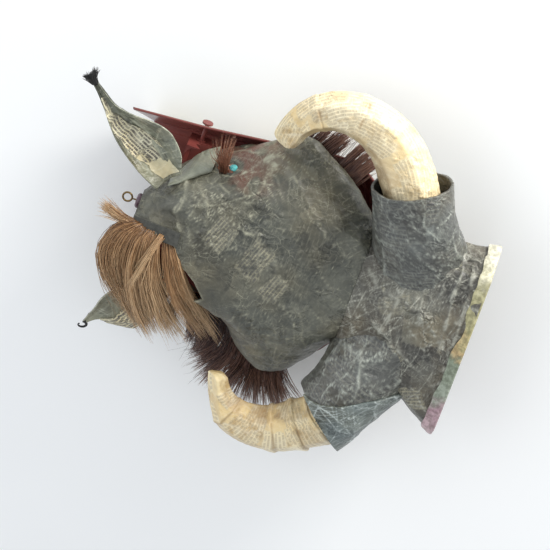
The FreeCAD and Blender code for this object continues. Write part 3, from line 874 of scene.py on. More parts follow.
def leaned(points):
    """The snout's open end leans a little to the animal's right, as hand-built paper does."""
    points = np.array(points, float)
    points[..., 1] -= SNOUT_LEAN * smoothstep(125, SNOUT_END, points[..., 0])
    return points


def shaped_head(grid):
    """Adds the brows and the hollows round the eyes to the plain skin."""
    normals = grid_normals(grid)
    height = np.zeros(grid.shape[:2])
    for side, sign in SIDES.items():
        spot = np.array(EYE_SPOTS[side])
        brow = line_distance(grid[..., :2], [(-66, sign * 50), (-41, sign * 54), (-14, sign * 66)])
        height += 2.6 * np.exp(-(brow / 6.5) ** 2)
        height -= 2.2 * np.exp(-(np.linalg.norm(grid - spot, axis=-1) / 11) ** 2)
    return grid + normals * height[..., None]


def make_head():
    grid = shaped_head(station_grid(HEAD_STATIONS, 225, 186))
    x, y, z = grid[..., 0], grid[..., 1], grid[..., 2]
    cut = np.maximum(outline_distance(grid[..., :2], GAP_OUTLINE), (GAP_FLOOR - z))
    eyes = np.exp(-((x + 34) / 24) ** 2) * smoothstep(58, 70, np.abs(y))
    eyes = eyes * smoothstep(0.3, 0.5, noise(grid, 9, 71))
    smooth_crown = smoothstep(-52, -70, x) * smoothstep(38, 20, y)
    smooth_cheek = smoothstep(8, -8, x) * smoothstep(-4, -16, y)
    brow_zone = smoothstep(-75, -60, x) * smoothstep(8, -8, x) * smoothstep(-4, 12, y)
    crest = 0.5 * (1 - smooth_crown) * (1 - 0.75 * smooth_cheek) + 0.5 * brow_zone
    edge = 1 - smoothstep(0.4, 2.0, np.abs(cut))
    ridges = [
        ([(-71, -4), (-57, -26), (-38, -46), (-8, -78)], 1.6, 3.0, 0.85),
        ([(-62, 62), (-56, 40), (-60, 22), (-48, 6)], 1.0, 2.0, 0.8),
        ([(-52, 58), (-34, 40), (-28, 22)], 0.9, 1.8, 0.8),
        ([(-28, 62), (-8, 52), (16, 56)], 0.9, 1.8, 0.7),
        ([(-40, 44), (-46, 20), (-36, -4)], 0.8, 1.6, 0.8),
        ([(20, 30), (44, 18), (60, -8)], 0.9, 2.4, 0.45),
        ([(52, -16), (68, -30), (90, -34)], 1.0, 2.4, 0.5),
        ([(-16, -62), (4, -88), (10, -112)], 1.0, 2.0, 0.6),
        ([(30, 96), (56, 74), (84, 50)], 1.0, 2.2, 0.6),
    ]
    patches = [
        (-11, 17, 15, 12, 1.15, 0.75, 1.0), (30, 4, 18, 13, 1.2, 0.35, 1.0),
        (56, -16, 13, 10, 1.25, 0.6, 1.0),
        (3, 112, 9, 7, 0.5, 1.9, 0.0), (50, 98, 8, 6, 0.3, 1.8, 0.0), (66, 62, 9, 7, 0.9, 1.3, 0.0),
        (78, -80, 11, 7, 0.2, 1.7, 0.0), (8, -92, 12, 8, 1.0, 1.3, 0.0), (60, 30, 15, 9, 0.7, 0.1, 0.0),
    ]
    how = {
        "folds": 1.0, "waves": 1.4, "crest_share": crest, "ridges": ridges, "start": HEAD_REAR,
        "cut": cut, "paint": {"stain": eyes, "crease": edge},
    }
    paste = {"count": 150, "size": 17, "print_share": 0.0, "patches": patches}
    head = paper_skin("head_skin", "head", "hide", grid, WALL, 11, paste, **how)
    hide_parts("head_shell")


def make_snout():
    grid = leaned(station_grid(SNOUT_STATIONS, 150, 260, closed=True))
    ridges = [
        ([(169, 58), (163, 39), (157, 16), (164, -17)], 1.3, 2.2, 0.9),
        ([(179, 62), (187, 43), (188, 14), (193, -38)], 1.3, 2.0, 0.9),
        ([(150, 36), (143, 11), (138, -18), (133, -48)], 1.3, 2.0, 0.8),
        ([(177, 15), (165, -24)], 1.1, 1.8, 0.8),
        ([(117, 30), (153, 37)], 1.6, 3.0, 0.6),
        ([(122, -39), (141, -48), (152, -61)], 1.4, 2.2, 0.8),
        ([(142, 62), (174, 60), (205, 55)], 1.6, 2.6, 0.9),
        ([(196, 50), (202, 16), (204, -30)], 0.9, 2.0, 0.7),
        ([(104, 10), (118, -6), (136, -10)], 1.0, 2.4, 0.6),
    ]
    patches = [
        (160, 30, 17, 12, 1.2, 0.15, 0.0), (172, -30, 20, 15, 0.2, 1.35, 0.0),
        (150, 4, 13, 9, 1.0, 1.2, 0.0), (190, -64, 17, 13, 1.1, 0.9, 0.0),
        (190, 24, 14, 12, 1.3, 0.0, 0.0), (184, -46, 9, 5, 1.4, 0.0, 0.0),
        (138, -16, 16, 9, 0.5, 0.8, 0.5),
    ]
    paste = {"count": 90, "size": 16, "print_share": 0.05, "patches": patches}
    how = {"wrap": True, "folds": 1.2, "waves": 1.3, "ridges": ridges, "start": SNOUT_START}
    snout = paper_skin("snout_skin", "head", "snout", grid, WALL, 31, paste, **how)
    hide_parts("snout_shell")


def make_snout_rim():
    """Coloured paper folded over the snout's open end, from an uneven band outside to a little way in."""
    lengthwise, columns = 60, 260
    last = lengthwise - 1
    profile = [(-9, 1.0), (-5, 1.4), (-2, 1.8), (1.0, 1.2), (1.6, -1.4), (0.4, -3.8), (-6, -4.6)]
    end = station_grid(SNOUT_STATIONS, 3, columns, closed=True)[-1]
    around = np.roll(end, -1, axis=0) - np.roll(end, 1, axis=0)
    outward = unit_rows(np.cross(np.array([1.0, 0, 0]), around))
    ragged = (layered_noise(end, 26, 801) - 0.5) * 15
    full = station_grid(SNOUT_STATIONS, lengthwise, columns, closed=True)
    rows = []
    for x, off in spline(np.array(profile, float), np.linspace(0, 1, 40)):
        reach = SNOUT_END + np.where(x < -1, x + ragged * min(1.0, (-x - 1) / 12), x)
        place = np.clip((reach - SNOUT_START) / (SNOUT_END - SNOUT_START) * last, 0, last)
        low = np.clip(np.floor(place).astype(int), 0, last - 1)
        share = (place - low)[:, None]
        index = np.arange(columns)
        ring = full[low, index] * (1 - share) + full[low + 1, index] * share
        ring[:, 0] = reach
        rows.append(ring + outward * (off + 0.6 * (noise(ring, 7, 802) - 0.5))[:, None])
    grid = np.array(rows)
    normals = grid_normals(grid, wrap=True)
    points, faces = shell(leaned(grid), leaned(grid - normals * 0.5), wrap=True)
    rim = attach(make_object("snout_rim_paper", points, faces, MATERIALS["rim"]), "head")
    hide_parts("snout_rim")


def make_leaned(node, name, material):
    """A board of the frame, drawn again so that it follows the snout's lean."""
    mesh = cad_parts[node].data
    points = np.empty(len(mesh.vertices) * 3)
    mesh.vertices.foreach_get("co", points)
    faces = [tuple(polygon.vertices) for polygon in mesh.polygons]
    board = make_object(name, leaned(points.reshape(-1, 3) / MM), faces, MATERIALS[material])
    board.data.polygons.foreach_set("use_smooth", [False] * len(faces))
    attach(board, "head")
    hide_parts(node)


# ---------------------------------------------------------------- tusks and sockets

SOCKET_RADIUS = 37.0
SOCKET_SQUASH = 0.8
SOCKET_LINES = {
    "left": [(150, 30, CROWN - 46), (129, 84, CROWN - 17), (114, 122, CROWN - 12)],
    "right": [(146, -30, CROWN - 46), (126, -84, CROWN - 17), (109, -121, CROWN - 12)],
}
SOCKET_TAPER = {"left": [1.32, 1.03, 1.0], "right": [1.32, 0.99, 0.91]}
SOCKET_SLANT = {"left": 0.0, "right": 9.0}
FLAP_THICKNESS = 3.4
TUSK_RADIUS = 26.0
TUSK_LEVEL = 94.0
TUSK_SQUASH = 0.92
CORE_SHARE = 0.52
TUSK_LINES = {
    "left": [(122, 100), (109, 124), (89, 149), (64, 163), (37, 165), (14, 155), (0, 138), (-8, 116)],
    "right": [
        (122, -100), (112, -126), (95, -141), (72, -155), (48, -159), (26, -153), (11, -139), (5, -122),
    ],
}
TUSK_TAPER = [0.98, 1.0, 0.96, 0.88, 0.78, 0.66, 0.54, 0.43]
# Where along each tusk the paper is wound round it as a band, and how far that stands out.
TUSK_RINGS = {
    "left": [(0.5, 0.8), (0.7, 1.4)],
    "right": [(0.16, 1.6), (0.29, 2.4), (0.42, 1.8), (0.7, 1.0)],
}
# A point on each tusk's slanting end facet, and the facet's facing.
TUSK_FACETS = {
    "left": ((20, 168, 115), (-0.26, -0.17, 0.95)),
    "right": ((17, -141, 107), (-0.80, -0.29, 0.52)),
}


def tube_grid(line, radii, rows, columns, squash=1.0):
    """Rings round a smooth middle line, each square to it. Their widest way is level."""
    places = np.linspace(0, 1, rows)
    centre = spline(line, places)
    radius = spline(radii, places)[:, None, None]
    along = unit_rows(np.gradient(centre, axis=0))
    across = unit_rows(np.cross(np.array([0, 0, 1.0]), along))
    rise = np.cross(along, across)
    turn = (-2 * math.pi * np.arange(columns) / columns)[None, :, None]
    ring = np.cos(turn) * across[:, None] + squash * np.sin(turn) * rise[:, None]
    return centre[:, None] + radius * ring


def sampled(grid, along, around):
    """Points between a closed grid's rows and columns, at places counted in rows and in columns."""
    row = np.clip(np.floor(along).astype(int), 0, grid.shape[0] - 2)
    column = np.floor(around).astype(int)
    f, g = (along - row)[..., None], (around - column)[..., None]
    a, b = column % grid.shape[1], (column + 1) % grid.shape[1]
    near = grid[row, a] * (1 - g) + grid[row, b] * g
    far = grid[row + 1, a] * (1 - g) + grid[row + 1, b] * g
    return near * (1 - f) + far * f


def socket_way(side):
    """The way that the socket points at its rim."""
    line = SOCKET_LINES[side]
    return unit(np.array(line[-1]) - np.array(line[-2]))


def socket_grid(side):
    """The socket's rings. The right one's rim is cut at a slant, further out at the front."""
    rows, columns = 74, 220
    radii = [SOCKET_RADIUS * share for share in SOCKET_TAPER[side]]
    grid = tube_grid(SOCKET_LINES[side], radii, rows, columns, SOCKET_SQUASH)
    frontness = np.cos(2 * math.pi * np.arange(columns) / columns)[None, :, None]
    fade = smoothstep(0.5, 1.0, np.linspace(0, 1, rows))[:, None, None]
    return grid + SOCKET_SLANT[side] * frontness * fade * socket_way(side)


def make_socket(side, seed):
    grid = socket_grid(side)
    ragged = (layered_noise(grid[-1], 14, seed + 9) - 0.5) * 3
    fade = smoothstep(0.7, 1.0, np.linspace(0, 1, len(grid)))[:, None, None]
    grid = grid + fade * ragged[None, :, None] * socket_way(side)
    ridges = [
        ([(20, -60), (34, -40), (52, -34)], 1.2, 1.8, 0.9),
        ([(24, 6), (44, 16), (66, 14)], 1.0, 1.6, 0.8),
        ([(18, 50), (40, 40), (70, 56)], 1.2, 1.8, 0.8),
        ([(30, 92), (58, 84)], 1.1, 1.8, 0.8),
    ]
    paste = {"count": 46, "size": 17, "print_share": 0.8, "angles": (1.5, 1.64)}
    how = {"wrap": True, "folds": 0.7, "waves": 0.7, "ridges": ridges}
    socket = paper_skin(side + "_socket_paper", "head", "socket", grid, 2.6, seed, paste, **how)
    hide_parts(side + "_tusk_socket")


def make_socket_flap():
    """The paler paper over the front of the right socket, widest at the rim, with a pointed corner."""
    base = socket_grid("right")
    rows, columns = 90, 130
    share = np.linspace(0, 1, rows)[:, None]
    width = np.linspace(0, 1, columns)[None, :]
    degrees = -16 + (8 + 150 * share ** 0.7) * width
    reach = 20 + 53 * share + 0 * width
    grid = sampled(base, reach, -degrees / 360 * base.shape[1])
    middle = base.mean(axis=1)
    along = unit(middle[-1] - middle[-10])
    corner = smoothstep(0.6, 1.0, share) * (1 - width) ** 2
    grid = grid + along * (9 * corner)[..., None]
    if np.mean(grid_normals(grid)[..., 2]) < 0:
        grid = grid[:, ::-1]
    grid = grid + grid_normals(grid) * FLAP_THICKNESS
    paste = {"count": 14, "size": 18, "print_share": 0.15}
    how = {"folds": 0.9, "waves": 0.9, "crest_share": 1.3}
    flap = paper_skin("right_socket_flap", "head", "flap", grid, FLAP_THICKNESS, 451, paste, **how)


def make_tusk(side, seed):
    rows, columns = 210, 96
    line = [(x, y, TUSK_LEVEL) for x, y in TUSK_LINES[side]]
    grid = tube_grid(line, [TUSK_RADIUS * share for share in TUSK_TAPER], rows, columns, TUSK_SQUASH)
    centre = grid.mean(axis=1, keepdims=True)
    sides = 6
    turn = 2 * math.pi * np.arange(columns) / columns
    corner = np.cos(math.pi / sides) / np.cos((turn % (2 * math.pi / sides)) - math.pi / sides)
    share = np.linspace(0, 1, rows)
    facet = 0.55 + 0.4 * smoothstep(0.5, 0.8, share)
    shape = 1 + (corner[None, :] - 1) * facet[:, None]
    rounding = np.sqrt(np.clip(1 - np.clip((share - 0.955) / 0.045, 0, 1) ** 2, 0.0, 1))
    grid = centre + (grid - centre) * (shape * np.maximum(rounding, 0.12)[:, None])[..., None]
    rings = TUSK_RINGS[side]
    for ring_share, rise in rings:
        step = smoothstep(ring_share - 0.008, ring_share, share)
        step = step * smoothstep(ring_share + 0.05, ring_share, share)
        grid = grid + (grid - centre) / TUSK_RADIUS * rise * step[:, None, None]
    point, facing = np.array(TUSK_FACETS[side][0], float), unit(TUSK_FACETS[side][1])
    proud = np.maximum(((grid - point) @ facing), 0)
    past = smoothstep(0.55, 0.62, share)[:, None]
    grid = grid - (proud * past)[..., None] * facing
    angles = {"left": (-0.2, 0.25), "right": (1.1, 1.9)}[side]
    paste = {"count": 70, "size": 19, "print_share": 0.85, "angles": angles}
    normals = grid_normals(grid, wrap=True)
    outer, attributes = relief(grid, normals, surface_plan(grid), seed, paste, 0.25, 0.5, 0.35)
    # Painted shade: the side of the tusk towards the head and the grooves beside the wound bands are darkened
    # brown where shade falls.
    heart = np.array([60, 118 if side == "left" else -112, TUSK_LEVEL])
    inward = unit_rows(heart - centre + 0 * grid)
    inner_side = smoothstep(0.05, 0.9, np.einsum("ijk,ijk->ij", normals, inward))
    painted_shade = inner_side * smoothstep(0.2, 0.7, layered_noise(grid, 9, seed + 5))
    patchy = smoothstep(0.3, 0.6, noise(grid, 8, seed + 6))
    for ring_share, _ in rings:
        groove = np.exp(-((share - ring_share + 0.008) / 0.007) ** 2)[:, None]
        painted_shade = np.maximum(painted_shade, groove * patchy)
    attributes["hollow"] = np.maximum(attributes["hollow"], painted_shade)
    points, faces = capped_tube(outer)
    values = {}
    for label, value in attributes.items():
        flat = value.reshape(rows * columns, -1)
        flat = np.concatenate([flat, flat[:1], flat[-1:]])
        values[label] = flat[:, 0] if flat.shape[1] == 1 else flat
    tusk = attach(make_object(side + "_tusk_paper", points, faces, MATERIALS["tusk"], values), "head")
    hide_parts(side + "_tusk")


def make_core(side, seed):
    """The crumpled newsprint that fills a tusk, slimmer than the skin and short of its tip."""
    line = [(x, y, TUSK_LEVEL) for x, y in TUSK_LINES[side][:-2]]
    radii = [CORE_SHARE * TUSK_RADIUS * share for share in TUSK_TAPER[:-2]]
    grid = tube_grid(line, radii, 90, 48, TUSK_SQUASH)
    grid = grid + grid_normals(grid, wrap=True) * ((layered_noise(grid, 12, seed) - 0.5) * 2.4)[..., None]
    points, faces = capped_tube(grid)
    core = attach(make_object(side + "_tusk_stuffing", points, faces, MATERIALS["stuffing"]), "head")
    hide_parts(side + "_tusk_core")


# ---------------------------------------------------------------- ears

# Root, tip and the way the cup faces, as on the frame's ears.
EARS = {
    "left": ((-92, 44, CROWN - 12), (-184, 118, CROWN + 2), (0.35, -0.1, 1)),
    "right": ((-79, -50, CROWN - 16), (-124, -136, CROWN - 52), (0.45, 0.1, 1)),
}
# Reach of the blade each side of its middle line, at even steps from root to tip.
EAR_REACH = {
    "left": {1: (17, 20, 21.5, 21.5, 20, 16, 10, 4.5, 2.2), -1: (14, 24, 28, 29, 22, 12, 4, 2, 2.2)},
    "right": {1: (14, 26, 36, 43, 46, 44, 28, 8, 2.2), -1: (12, 13, 14, 14, 14, 12, 8, 5, 2.2)},
}
EAR_DEPTH = (6, 9, 12, 13, 11, 8, 4.5, 2.5, 1)
EAR_CARD = 1.5
# Where the newsprint lining lies: share of the length, and its two edges across.
LININGS = {
    "left": [
        (0.03, -13, 4), (0.15, -12.5, 7.4), (0.33, -13, 12.5), (0.52, -5, 12.3), (0.68, 2, 9.6),
        (0.86, 1.5, 3.5),
    ],
    "right": [(0.2, 8, 22), (0.4, 13, 33), (0.6, 16, 41), (0.76, 14, 38), (0.86, 6, 16)],
}


def ear_axes(side):
    root, tip, facing = (np.array(value, float) for value in EARS[side])
    along = unit(tip - root)
    normal = unit(facing - along * (facing @ along))
    return root, tip, normal, np.cross(normal, along)


def ear_surface(side, share, across, lift=0.0):
    """Points on the ear's blade at shares of its length and distances across it."""
    root, tip, normal, sideways = ear_axes(side)
    share, across = np.broadcast_arrays(np.asarray(share, float), np.asarray(across, float))
    flat = np.clip(share, 0, 1).ravel()
    reach = np.where(
        across.ravel() > 0, spline(EAR_REACH[side][1], flat), spline(EAR_REACH[side][-1], flat)
    ).reshape(share.shape)
    depth = spline(EAR_DEPTH, flat).reshape(share.shape)
    place = np.abs(across) / reach
    cup = depth * (smoothstep(0.15, 1.0, place) * 1.15 - 1)
    roll = np.where(across > 0, smoothstep(0.72, 1.0, place), 0) * depth * 0.45
    bow = 6 * np.sin(math.pi * share) * (1 if side == "left" else 0.4)
    centre = root + (tip - root) * share[..., None]
    outward = across - roll * 0.9
    return centre + sideways * outward[..., None] + normal * (cup - roll + bow + lift)[..., None]


def make_ear(side, seed):
    rows, columns = 150, 110
    share = np.linspace(0, 1, rows)[:, None]
    wide = spline(EAR_REACH[side][-1], share[:, 0])[:, None]
    far = spline(EAR_REACH[side][1], share[:, 0])[:, None]
    step = np.linspace(-1, 1, columns)[None, :]
    across = np.where(step < 0, step * wide, step * far)
    wander = np.stack(np.broadcast_arrays(share * 90, np.sign(step), 0.0), axis=-1)
    ragged = 1 + (noise(wander, 7, seed) - 0.5) * 0.05
    grid = ear_surface(side, share, across * ragged)
    if (grid_normals(grid).mean(axis=(0, 1)) @ ear_axes(side)[2]) < 0:
        grid = grid[:, ::-1]
        step = step[:, ::-1]
    edge = smoothstep(0.965, 0.99, np.abs(step)) * np.ones_like(share)
    ridges = [
        ([(20, -8), (50, -12), (80, -6)], 0.8, 1.6, 0.7),
        ([(14, 10), (44, 16), (70, 12)], 0.8, 1.6, 0.6),
    ]
    paste = {"count": 26, "size": 15, "print_share": 0.12}
    normals = grid_normals(grid)
    outer, attributes = relief(grid, normals, surface_plan(grid), seed, paste, 0.35, 0.7, 0.8, ridges)
    attributes["crease"] = np.maximum(attributes["crease"], edge)
    points, faces = shell(outer, outer - normals * EAR_CARD)
    values = sheet_values(attributes)
    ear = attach(make_object(side + "_ear_paper", points, faces, MATERIALS["ear"], values), "head")
    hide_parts(side + "_ear")


def make_ear_lining(side, seed):
    rows, columns = 90, 60
    table = np.array(LININGS[side], float)
    row = spline(table, np.linspace(0, 1, rows))
    reach = row[:, 0] * 110
    wander = (noise(np.stack([reach, reach * 0, reach * 0], axis=-1), 6, seed) - 0.5) * 2.2
    width = np.linspace(0, 1, columns)[None, :]
    across = row[:, 1:2] + wander[:, None] + (row[:, 2:3] - row[:, 1:2]) * width
    grid = ear_surface(side, row[:, 0:1] + across * 0, across, 1.0)
    if (grid_normals(grid).mean(axis=(0, 1)) @ ear_axes(side)[2]) < 0:
        grid = grid[:, ::-1]
    paste = {"count": 16, "size": 19, "print_share": 1.0, "angles": (-0.15, 0.35)}
    how = {"folds": 0.2, "waves": 0.3, "crest_share": 0.5}
    lining = paper_skin(side + "_ear_newsprint", "head", "ear_print", grid, 0.5, seed, paste, **how)
    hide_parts(side + "_ear_lining")


# ---------------------------------------------------------------- hair


def hair_lock(draw, guides, blend, spread, count, length, width, clump, segments):
    """Strands between guide lines. Each follows a mix of two guides, and ends a little aside from it."""
    strands = []
    guides = np.array(guides, float)
    locks = max(1, int(count / 26))
    lock_place = [draw.random() for _ in range(locks)]
    lock_aside = [np.array([draw.gauss(0, 1) for _ in range(3)]) for _ in range(locks)]
    for _ in range(count):
        share = draw.random() ** blend
        which = min(range(locks), key=lambda k: abs(lock_place[k] - share))
        share = share + (lock_place[which] - share) * clump * 0.8
        along = share * (len(guides) - 1)
        low = min(int(along), len(guides) - 2)
        line = guides[low] * (1 - along + low) + guides[low + 1] * (along - low)
        reach = length * draw.uniform(0.72, 1.08)
        places = np.linspace(0, 1, segments)
        strand = spline(line, np.minimum(places * reach, 1.0))
        tail = strand[-1] - strand[-2]
        strand = strand + tail * np.maximum(places * reach - 1.0, 0)[:, None] * segments
        aside = np.array([draw.gauss(0, 1) for _ in range(3)]) * (1 - 0.6 * clump)
        aside = aside + lock_aside[which] * clump
        root = np.array([draw.uniform(-1, 1) for _ in range(3)])
        strand = strand + root * spread[0] + aside * (places ** 1.4)[:, None] * spread[1]
        curl = np.sin(places * draw.uniform(2, 5) + draw.uniform(0, 6))[:, None] * spread[1] * 0.16
        thickness = width * draw.uniform(0.6, 1.3)
        shade = draw.random() * 0.6 + 0.4 * share
        strands.append((strand + curl * lock_aside[which], thickness, shade))
    return strands


def make_hair(name, strands, material, replaced):
    """One mesh of three-sided strands, each tapered to its tip."""
    points, faces, length_share, tone = [], [], [], []
    for strand, width, shade in strands:
        rows = len(strand)
        along = unit_rows(np.gradient(strand, axis=0))
        side = unit_rows(np.cross(along, np.array([0.12, 0.2, 0.97])))
        rise = np.cross(side, along)
        share = np.linspace(0, 1, rows)
        half = width * 0.5 * np.sqrt(np.clip(1.02 - share, 0.02, 1))[:, None]
        start = len(points)
        ring = np.stack([strand - side * half, strand + side * half, strand + rise * half * 0.7], axis=1)
        points.extend(ring.reshape(-1, 3))
        length_share.extend(np.repeat(share, 3))
        tone.extend([shade] * rows * 3)
        for i in range(rows - 1):
            for j in range(3):
                a, b = start + i * 3 + j, start + i * 3 + (j + 1) % 3
                faces.append((a, b, b + 3, a + 3))
        faces.append((start + 2, start + 1, start))
        end = start + (rows - 1) * 3
        faces.append((end, end + 1, end + 2))
    values = {"length_share": length_share, "strand_tone": tone}
    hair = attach(make_object(name, points, faces, MATERIALS[material], values), "head")
    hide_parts(*replaced)


# Guide lines of the mane, from the crest's tip along its lower edge. Each runs from root to tip.
MANE_GUIDES = [
    [(-107, 1, -1), (-124, -6, 7), (-130, -32, 8), (-115, -60, 0), (-88, -83, -12)],
    [(-103, 1, -1), (-116, -9, 9), (-120, -35, 9), (-102, -67, -2), (-73, -100, -16)],
    [(-98, -1, -1), (-105, -12, 9), (-104, -39, 8), (-90, -77, -6), (-69, -107, -20)],
    [(-91, -1, -1), (-92, -13, 8), (-85, -44, 5), (-70, -75, -8), (-52, -103, -22)],
    [(-84, -2, -2), (-80, -17, 6), (-70, -44, 2), (-52, -73, -12), (-29, -98, -26)],
]
FRONT_GUIDES = [
    [(-80, -2, -2), (-74, -18, 4), (-62, -44, 0), (-45, -70, -12), (-20, -95, -26)],
    [(-77, -3, -3), (-68, -19, 3), (-54, -45, -3), (-36, -67, -14), (-11, -91, -28)],
    [(-71, -3, -4), (-57, -23, -1), (-43, -46, -8), (-26, -68, -19), (-3, -96, -33)],
]
# A lock of painted highlight: strands on top of the mane where light catches the parted hair, given a pale
# tone in make_mane.
HIGHLIGHT_GUIDES = [
    [(-84, -1, 3), (-88, -12, 12), (-92, -26, 14), (-95, -40, 12), (-96, -50, 9)],
    [(-80, -2, 3), (-84, -14, 12), (-88, -30, 14), (-92, -46, 12), (-94, -56, 8)],
]
TUFT_GUIDES = [
    [(-106, 2, -2), (-117, 4, 4), (-127, 9, 7), (-136, 14, 8), (-142, 17, 7)],
    [(-107, 0, -2), (-118, 0, 5), (-130, 2, 7), (-138, 2, 6), (-144, 0, 4)],
]


def lifted(guides):
    return [[(x, y, CROWN + z) for x, y, z in guide] for guide in guides]


def make_mane():
    draw = random.Random(5)
    strands = hair_lock(
        draw, lifted(MANE_GUIDES), blend=1.0, spread=(1.8, 5.4), count=1450,
        length=0.98, width=0.8, clump=0.6, segments=10,
    )
    strands += hair_lock(
        draw, lifted(FRONT_GUIDES), blend=0.9, spread=(1.4, 4.6), count=340,
        length=0.98, width=0.75, clump=0.6, segments=10,
    )
    pale = hair_lock(
        draw, lifted(HIGHLIGHT_GUIDES), blend=1.0, spread=(1.4, 2.8), count=100,
        length=1.0, width=0.7, clump=0.5, segments=8,
    )
    # These strands take a fixed pale tone as a painted highlight.
    strands += [(line, width, 0.9) for line, width, _ in pale]
    strands += hair_lock(
        draw, lifted(TUFT_GUIDES), blend=1.0, spread=(1.6, 2.6), count=190,
        length=0.85, width=0.7, clump=0.5, segments=7,
    )
    make_hair("mane_strands", strands, "ginger", ["mane_hair"])


WHISKER_GUIDES = {
    "right": [
        [(-46, -74, -52), (-38, -92, -56), (-30, -108, -60), (-26, -124, -66)],
        [(-20, -80, -52), (-14, -100, -56), (-16, -116, -60), (-24, -128, -67)],
        [(0, -88, -52), (2, -112, -57), (-6, -128, -61), (-16, -142, -68)],
        [(14, -92, -52), (14, -120, -57), (6, -140, -61), (0, -160, -68)],
        [(28, -94, -52), (30, -122, -57), (24, -142, -60), (20, -163, -66)],
        [(40, -94, -52), (40, -120, -57), (44, -140, -60), (50, -166, -66)],
        [(50, -92, -52), (52, -120, -57), (60, -138, -60), (73, -160, -66)],
        [(60, -88, -52), (62, -114, -57), (72, -132, -60), (86, -148, -66)],
    ],
    "left": [
        [(4, 92, -52), (10, 106, -54), (16, 118, -57), (22, 130, -62)],
        [(20, 92, -52), (27, 108, -54), (34, 120, -57), (42, 132, -62)],
        [(36, 88, -52), (43, 104, -54), (50, 118, -57), (58, 130, -62)],
        [(50, 82, -52), (58, 96, -54), (66, 110, -57), (76, 124, -62)],
        [(60, 76, -52), (68, 90, -54), (76, 102, -57), (84, 112, -61)],
    ],
}


def make_whiskers(side, count, seed):
    draw = random.Random(seed)
    strands = hair_lock(
        draw, lifted(WHISKER_GUIDES[side]), blend=1.25, spread=(2.4, 3.4), count=count,
        length=0.98, width=0.95, clump=0.92, segments=9,
    )
    strands += hair_lock(
        draw, lifted(WHISKER_GUIDES[side]), blend=1.0, spread=(3.0, 8.0), count=count // 5,
        length=1.04, width=0.42, clump=0.1, segments=9,
    )
    make_hair(side + "_whisker_strands", strands, "brown", [side + "_whiskers"])


def make_lashes(side, seed):
    draw = random.Random(seed)
    sign = SIDES[side]
    x, y, z = EYE_SPOTS[side]
    fans = []
    for lean in (-1.0, 0.0, 1.0):
        fans.append([
            (x - 8 + 2.5 * lean, y - 3 * sign, z + 6),
            (x - 10 + 4 * lean, y + 9 * sign, z + 11),
            (x - 13 + 7 * lean, y + 20 * sign, z + 11),
            (x - 15 + 12 * lean, y + 37 * sign, z + 9),
        ])
    strands = hair_lock(
        draw, fans, blend=1.0, spread=(1.4, 4.4), count=150,
        length=0.86, width=0.6, clump=0.75, segments=8,
    )
    make_hair(side + "_lash_strands", strands, "lash", [side + "_lash_tuft"])


def make_tassel():
    """The brush of black thread on the left ear's tip."""
    draw = random.Random(41)
    root, tip, normal, sideways = ear_axes("left")
    along = unit(tip - root)
    fans = []
    for lean in (-1.0, 0.0, 1.0):
        fans.append([
            tip - along * 3 + sideways * lean * 1.2,
            tip + along * 3 + sideways * (lean * 3.4 - 0.5) + normal * 1.5,
            tip + along * 6.5 + sideways * (lean * 6.4 - 1.5) + normal * 2,
            tip + along * 8.5 + sideways * (lean * 8.6 - 2.5) + normal * 1,
        ])
    strands = hair_lock(
        draw, fans, blend=1.0, spread=(1.4, 1.3), count=260,
        length=0.95, width=0.85, clump=0.4, segments=6,
    )
    make_hair("left_ear_tassel_threads", strands, "black", ["left_ear_tassel"])


def make_curl():
    """The right ear's tip, drawn out and rolled into a small black curl."""
    rows, columns = 60, 14
    root, tip, normal, sideways = ear_axes("right")
    along = unit(tip - root)
    turn = np.linspace(-0.4, 2.0 * math.pi * 0.82, rows)[:, None]
    swing = 4.6 * (1 - 0.35 * np.linspace(0, 1, rows)[:, None])
    roll = -along * swing * np.cos(turn) + sideways * swing * np.sin(turn)
    line = tip + along * 5 + roll + normal * turn * 0.25
    thick = 1.5 - 0.9 * np.linspace(0, 1, rows)
    grid = tube_grid(line[::4], thick[::4], rows, columns, 0.8)
    points, faces = capped_tube(grid)
    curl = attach(make_object("right_ear_curl_roll", points, faces, MATERIALS["black"]), "head")
    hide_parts("right_ear_curl")


# ---------------------------------------------------------------- eyes and temples


def make_bead(side):
    """A round bead cut in flat facets."""
    sign = SIDES[side]
    facing = unit([0, 0.9 * sign, 0.42])
    across = np.array([1.0, 0, 0])
    up = np.cross(facing, across)
    centre = np.array(EYE_SPOTS[side]) + facing * 2
    # Each ring is (how far along the facing, radius).
    rings = [(-3.2, 1.8), (-1.2, 3.9), (1.2, 3.9), (3.0, 2.2)]
    sides = 8
    points = []
    for k, (lift, radius) in enumerate(rings):
        for j in range(sides):
            turn = 2 * math.pi * (j + 0.5 * (k % 2)) / sides
            spoke = across * 1.12 * math.cos(turn) + up * math.sin(turn)
            points.append(centre + facing * lift + spoke * radius)
    faces = []
    last = len(rings) - 1
    for k in range(last):
        for j in range(sides):
            a, b = k * sides + j, k * sides + (j + 1) % sides
            c, d = a + sides, b + sides
            faces += [(a, b, c), (b, d, c)]
    faces.append(tuple(range(sides - 1, -1, -1)))
    faces.append(tuple(last * sides + j for j in range(sides)))
    bead = make_object(side + "_eye_bead_cut", points, faces, MATERIALS["bead"])
    bead.data.polygons.foreach_set("use_smooth", [False] * len(bead.data.polygons))
    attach(bead, "head")
    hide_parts(side + "_eye_bead")


